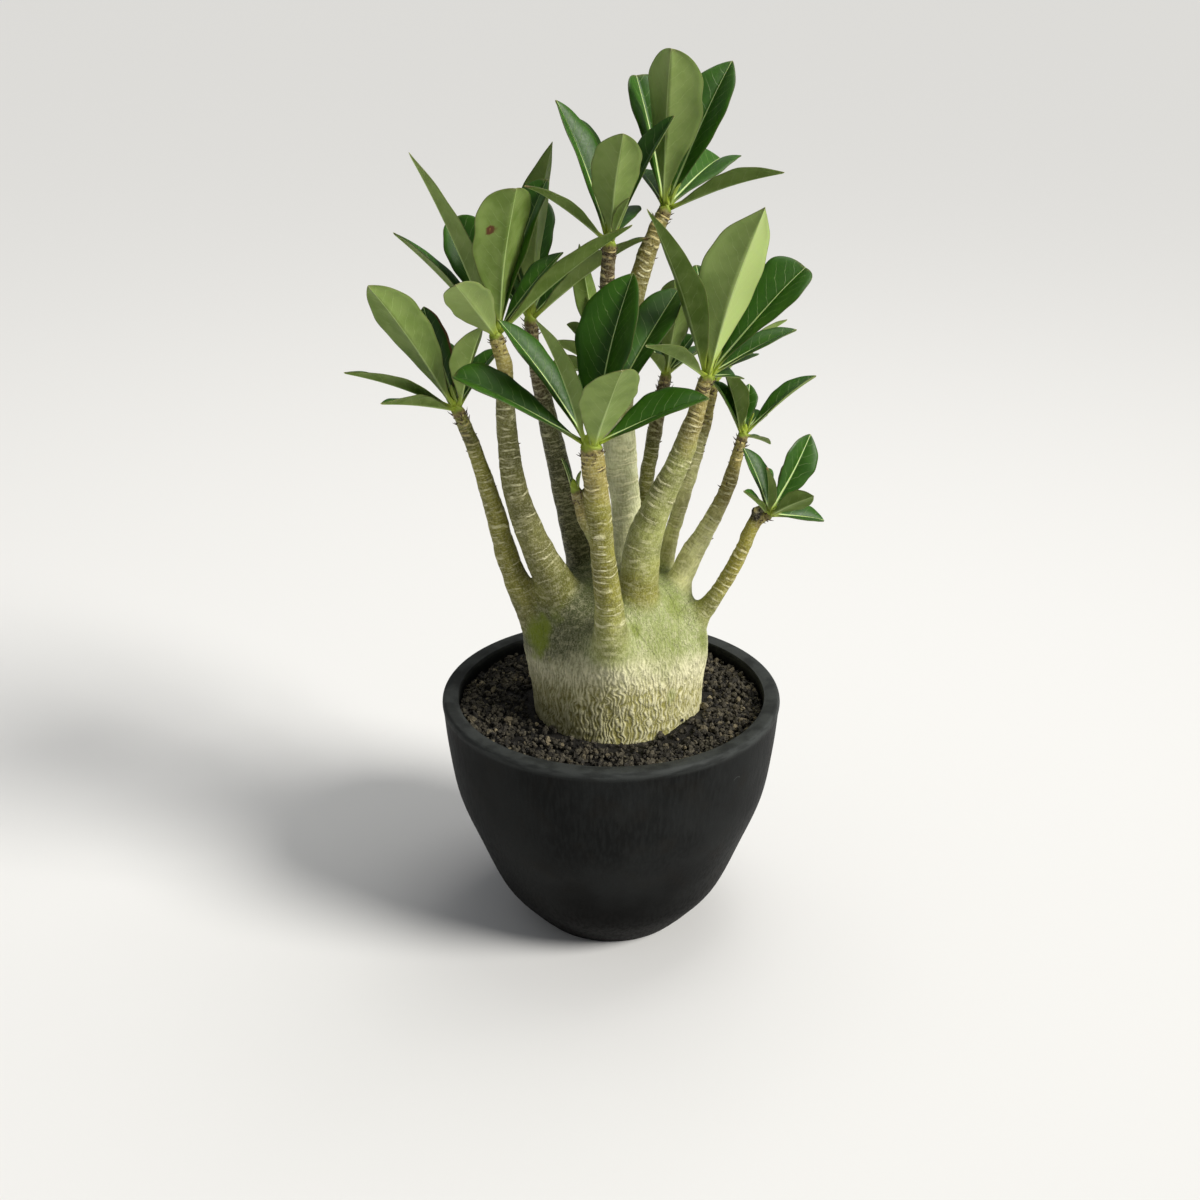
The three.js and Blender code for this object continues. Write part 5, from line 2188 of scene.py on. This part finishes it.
        new_growth = np.maximum(fresh, 0.85 * (1.0 - smoothstep(along_all, 0.02, 0.17)))
        tip_dry = smoothstep(along_all, 0.972, 0.995) * np.where(only(DRY), 0.95, 0.35)
        tip_dry = np.maximum(tip_dry, 0.95 * smoothstep(along_all, 0.93, 0.97) * only(DRY))
        spot = np.hypot((along_all - 0.7) * 70.0, (across_all - 0.5) * 14.0)
        spot = (1.0 - smoothstep(spot, 0.9, 2.6)) * (only(SPOT) & (face < 0))
        edge = smoothstep(np.abs(across_all), 0.82, 1.0) * 0.85 * only(RED)
        lines = np.stack([phase, from_rib, broad - from_rib], axis=-1)
        place = np.stack([across_all, along_all, np.broadcast_to(0.5 + 0.5 * face, shape)], axis=-1)
        bloom = np.stack([new_growth, tip_dry, np.maximum(edge, spot)], axis=-1)
        # Painted light: sunlit leaves are made paler, and the leaves with a lit half palest, most on that
        # half; the rest is each leaf's random paleness.
        painted_lit_half = 1.0 - 0.75 * smoothstep(across_all, -0.06, 0.06)
        pale = random.uniform(0.0, 0.35, (len(leaves), 1, 1)) + 0.35 * only(PALE) - 0.5 * only(RED)
        pale = pale + only(SUNLIT_HALF) * painted_lit_half
        values = {"blade_place": place, "blade_lines": lines, "blade_marks": bloom}
        marks = {name: self.with_ends(value) for name, value in values.items()}
        marks["blade_shade"] = self.with_ends(pale[..., None])[:, 0]
        return marks

    @staticmethod
    def with_ends(values: Array) -> Array:
        """Adds the middles of each tube's end rings to values given by tube, ring and step."""
        ends = values[:, [0, -1]].mean(axis=2)
        flat = values.reshape(len(values), -1, values.shape[-1])
        return np.concatenate([flat, ends], axis=1).reshape(-1, values.shape[-1])

    def even_marks(self, count: int, fresh: float, dry: float) -> dict[str, Array]:
        """The same marks at each of a surface's corners.

        Args:
            count: How many corners there are.
            fresh: How far they are new growth.
            dry: How far they are dry.

        Returns:
            The marks, by name.
        """
        return {
            "blade_place": np.tile([0.0, 0.1, 0.5], (count, 1)),
            "blade_lines": np.tile([0.25, 9.0, 9.0], (count, 1)),
            "blade_marks": np.tile([fresh, dry, 0.0], (count, 1)),
            "blade_shade": np.full(count, 0.5),
        }

    def growing_tip(self) -> Surface:
        """The growing tip: a blunt cone with a swelling wherever a leaf has left it.

        Its radius goes by straight steps from the branch's to the point's. The swellings are the square of
        a sine of the turn and the height together, where that sine is above zero.
        """
        foot, axis, radius, length, _ = self.footing()
        heights = np.linspace(-0.9, length, 18)
        share = np.clip(heights / length, 0.0, 1.0)
        profile = radius * np.interp(share, *self.taper)
        turn = even_turns(30)
        bump = np.maximum(0.0, np.sin(3.0 * turn[None] + 14.0 * share[:, None])) ** 2
        swelling = 1.0 + 0.2 * bump * smoothstep(share, 0.05, 0.3)[:, None]
        ring = around(turn, *sides_of(axis))
        rings = foot + heights[:, None, None] * axis + (profile[:, None] * swelling)[..., None] * ring[None]
        corners, faces = tubes(rings[None])
        marks = self.even_marks(len(corners), 1.0, 0.0)
        low = np.sum((corners - foot) * axis, axis=1) / length
        ragged = 0.12 * SolidNoise(61, 2.0).at(corners)
        marks["blade_marks"][:, 0] = 0.55 + 0.35 * smoothstep(low, 0.1, 0.6)
        marks["blade_marks"][:, 1] = 0.9 * (1.0 - smoothstep(low + ragged, 0.08, 0.36))
        return Surface(corners, faces, marks)

    def scales(self, seed: int) -> Surface:
        """The dried scales round the foot of the growing tip: short bent spikes that lean outwards.

        Args:
            seed: Chooses their places and lengths.

        Returns:
            The scales.
        """
        foot, axis, radius, _, _ = self.footing()
        random = np.random.default_rng(seed + 7)
        count = 8 + round(14 * self.branch.ragged)
        turn = GOLDEN_ANGLE * np.arange(count) + random.uniform(-0.4, 0.4, count)
        out = around(turn, *sides_of(axis))
        drop = random.uniform(-2.0 - 5.0 * self.branch.ragged, 1.2, count)
        base = foot + 0.93 * radius * out + drop[:, None] * axis
        lean = unit(out + random.uniform(0.1, 1.3, count)[:, None] * axis)
        length = random.uniform(0.8, 2.4 + self.branch.ragged, count) * min(1.0, radius / 3.0)
        return Surface(
            *spikes(base, lean, axis, length, 0.42), self.even_marks(count * (4 * 5 + 2), 0.0, 1.0), finish=1
        )


def spikes(base: Array, lean: Array, up: Array, length: Array, thick: float) -> tuple[Array, Faces]:
    """Makes short bent spikes.

    A spike's middle goes out along its lean and curls up by the square of the place along it, and its
    radius shrinks towards the tip.

    Args:
        base: Where each starts.
        lean: Which way each goes.
        up: Which way they curl.
        length: How long each is.
        thick: Their radius at the foot.

    Returns:
        The corners and the faces.
    """
    share = np.array([-0.2, 0.3, 0.7, 1.0])
    side, across = sides_of(lean, np.broadcast_to(up, lean.shape) + 0.01)
    middle = base[:, None] + (length[:, None] * share)[..., None] * lean[:, None]
    middle = middle + (0.35 * length[:, None] * share**2)[..., None] * up
    radius = thick * np.array([1.0, 0.75, 0.45, 0.12])
    ring = around(even_turns(5), side[:, None], across[:, None])
    return tubes(middle[:, :, None] + radius[None, :, None, None] * ring[:, None])


@dataclass(frozen=True)
class DriedBases:
    """The short dark bases of fallen leaves, which stand out from the upper parts of the branches."""

    branches: dict[str, Branch]
    reach: float = 70.0
    pitch: float = 1.55
    seed: int = 51

    def build(self, finish: Material) -> Piece:
        """Sets the bases on the branches, thicker towards the tips.

        Args:
            finish: What they wear.

        Returns:
            All of them, as one piece.
        """
        random = np.random.default_rng(self.seed)
        bases, leans, lengths = [], [], []
        for branch in self.branches.values():
            path, direction, along = branch.sampled(1.0)
            from_tip = along[-1] - along
            height = np.arange(0.0, min(self.reach, 0.75 * along[-1]), self.pitch) + 1.0
            odds = branch.ragged * (1.0 - height / self.reach) ** 1.4
            kept = random.uniform(size=len(height)) < odds
            turn = GOLDEN_ANGLE * np.arange(len(height)) + random.uniform(-0.3, 0.3, len(height))
            height, turn = height[kept], turn[kept]
            row = np.searchsorted(-from_tip, -height).clip(0, len(path) - 1)
            out = around(turn, *sides_of(direction[row]))
            bases.append(path[row, :3] + 0.97 * path[row, 3:] * out)
            leans.append(unit(out + random.uniform(-0.2, 0.7, len(row))[:, None] * direction[row]))
            lengths.append(random.uniform(0.5, 1.6, len(row)))
        corners, faces = spikes(np.vstack(bases), np.vstack(leans), UP, np.concatenate(lengths), 0.42)
        return Surface(corners, faces).as_piece("dried_leaf_bases", "bark", [finish])


# ---- The studio


@dataclass(frozen=True)
class Studio:
    """A plain pale floor, soft light from the upper right, and the camera at the photograph's angle.

    Attributes:
        camera_y: The camera's depth, in metres.
        camera_z: Its height, in metres.
        pitch: How far it looks down, in degrees.
        lens: Its focal length, in millimetres.
        shift: How far the frame is moved sideways, so that the pot's axis is a little right of its middle.
    """

    camera_y: float = -0.7664
    camera_z: float = 0.5246
    pitch: float = 23.86
    lens: float = 48.153
    shift: float = -0.0093
    frame_width: float = 36.0
    floor_radius: float = 30.0
    floor_colour: Colour = (0.80, 0.80, 0.79)
    floor_roughness: float = 0.9
    sky: Colour = (0.95, 0.97, 1.0)
    sky_strength: float = 0.25
    key_from: Point = (0.92, -0.48, 0.78)
    key_power: float = 3.6
    key_spread: float = 22.0
    key_colour: Colour = (1.0, 0.975, 0.93)
    top_place: Point = (0.25, 0.25, 1.5)
    top_size: float = 0.8
    top_power: float = 7.0
    top_colour: Colour = (1.0, 0.98, 0.95)
    plant_middle: Point = (0.0, 0.0, 0.25)

    def build(self) -> None:
        """Sets the floor, the lights, the sky and the camera."""
        self.floor()
        self.key()
        self.top_light()
        world = bpy.data.worlds.new("sky")
        bpy.context.scene.world = world
        world.use_nodes = True
        background = world.node_tree.nodes["Background"]
        background.inputs["Color"].default_value = (*self.sky, 1.0)
        background.inputs["Strength"].default_value = self.sky_strength
        bpy.context.scene.view_settings.view_transform = "Standard"
        self.camera()

    def key(self) -> None:
        """Hangs the key light: a wide soft source far away, to the right, above and a little in front."""
        data = bpy.data.lights.new("key", "SUN")
        data.energy = self.key_power
        data.angle = np.radians(self.key_spread)
        data.color = self.key_colour
        aim = -Vector(self.key_from)
        placed("key", data).rotation_euler = aim.to_track_quat("-Z", "Y").to_euler()

    def camera(self) -> None:
        """Places the camera."""
        data = bpy.data.cameras.new("camera")
        data.lens = self.lens
        data.sensor_width = self.frame_width
        data.shift_x = self.shift
        data.clip_end = 100.0
        camera = placed("camera", data)
        camera.location = (0.0, self.camera_y, self.camera_z)
        camera.rotation_euler = (np.radians(90.0 - self.pitch), 0.0, 0.0)
        bpy.context.scene.camera = camera

    def floor(self) -> None:
        """Lays the floor: a wide round sheet."""
        ring = self.floor_radius * around(even_turns(96), RIGHT, BACK)
        mesh = bpy.data.meshes.new("floor")
        mesh.from_pydata(ring.tolist(), [], [list(range(len(ring)))])
        material, _, shader = new_material("floor")
        shader.inputs["Base Color"].default_value = (*self.floor_colour, 1.0)
        shader.inputs["Roughness"].default_value = self.floor_roughness
        mesh.materials.append(material)
        floor = placed("floor", mesh)

    def top_light(self) -> None:
        """Hangs a soft square light over the plant, which looks at the plant's middle."""
        data = bpy.data.lights.new("top", "AREA")
        data.size = self.top_size
        data.energy = self.top_power
        data.color = self.top_colour
        light = placed("top", data)
        light.location = self.top_place
        aim = Vector(self.plant_middle) - Vector(self.top_place)
        light.rotation_euler = aim.to_track_quat("-Z", "Y").to_euler()


# ---- The whole


def main() -> None:
    """Builds the plant, its pot and the studio."""
    logging.basicConfig(level=logging.INFO, format="%(name)s: %(message)s")
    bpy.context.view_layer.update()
    effects = Effects.build()
    grit = Grit().material(effects)
    scale = DriedScale().material(effects)
    leaf = LeafSkin().material(effects)
    Pot().build(PotPlastic().material(effects))
    GritFill().build(grit)
    PlantBody(BRANCHES, Caudex()).build(Bark().material(effects))
    DriedBases(BRANCHES).build(scale)
    for name, leaves in LEAVES.items():
        LeafHead(name, BRANCHES[name], leaves).build([leaf, scale])
    Studio().build()


if __name__ == "__main__":
    main()
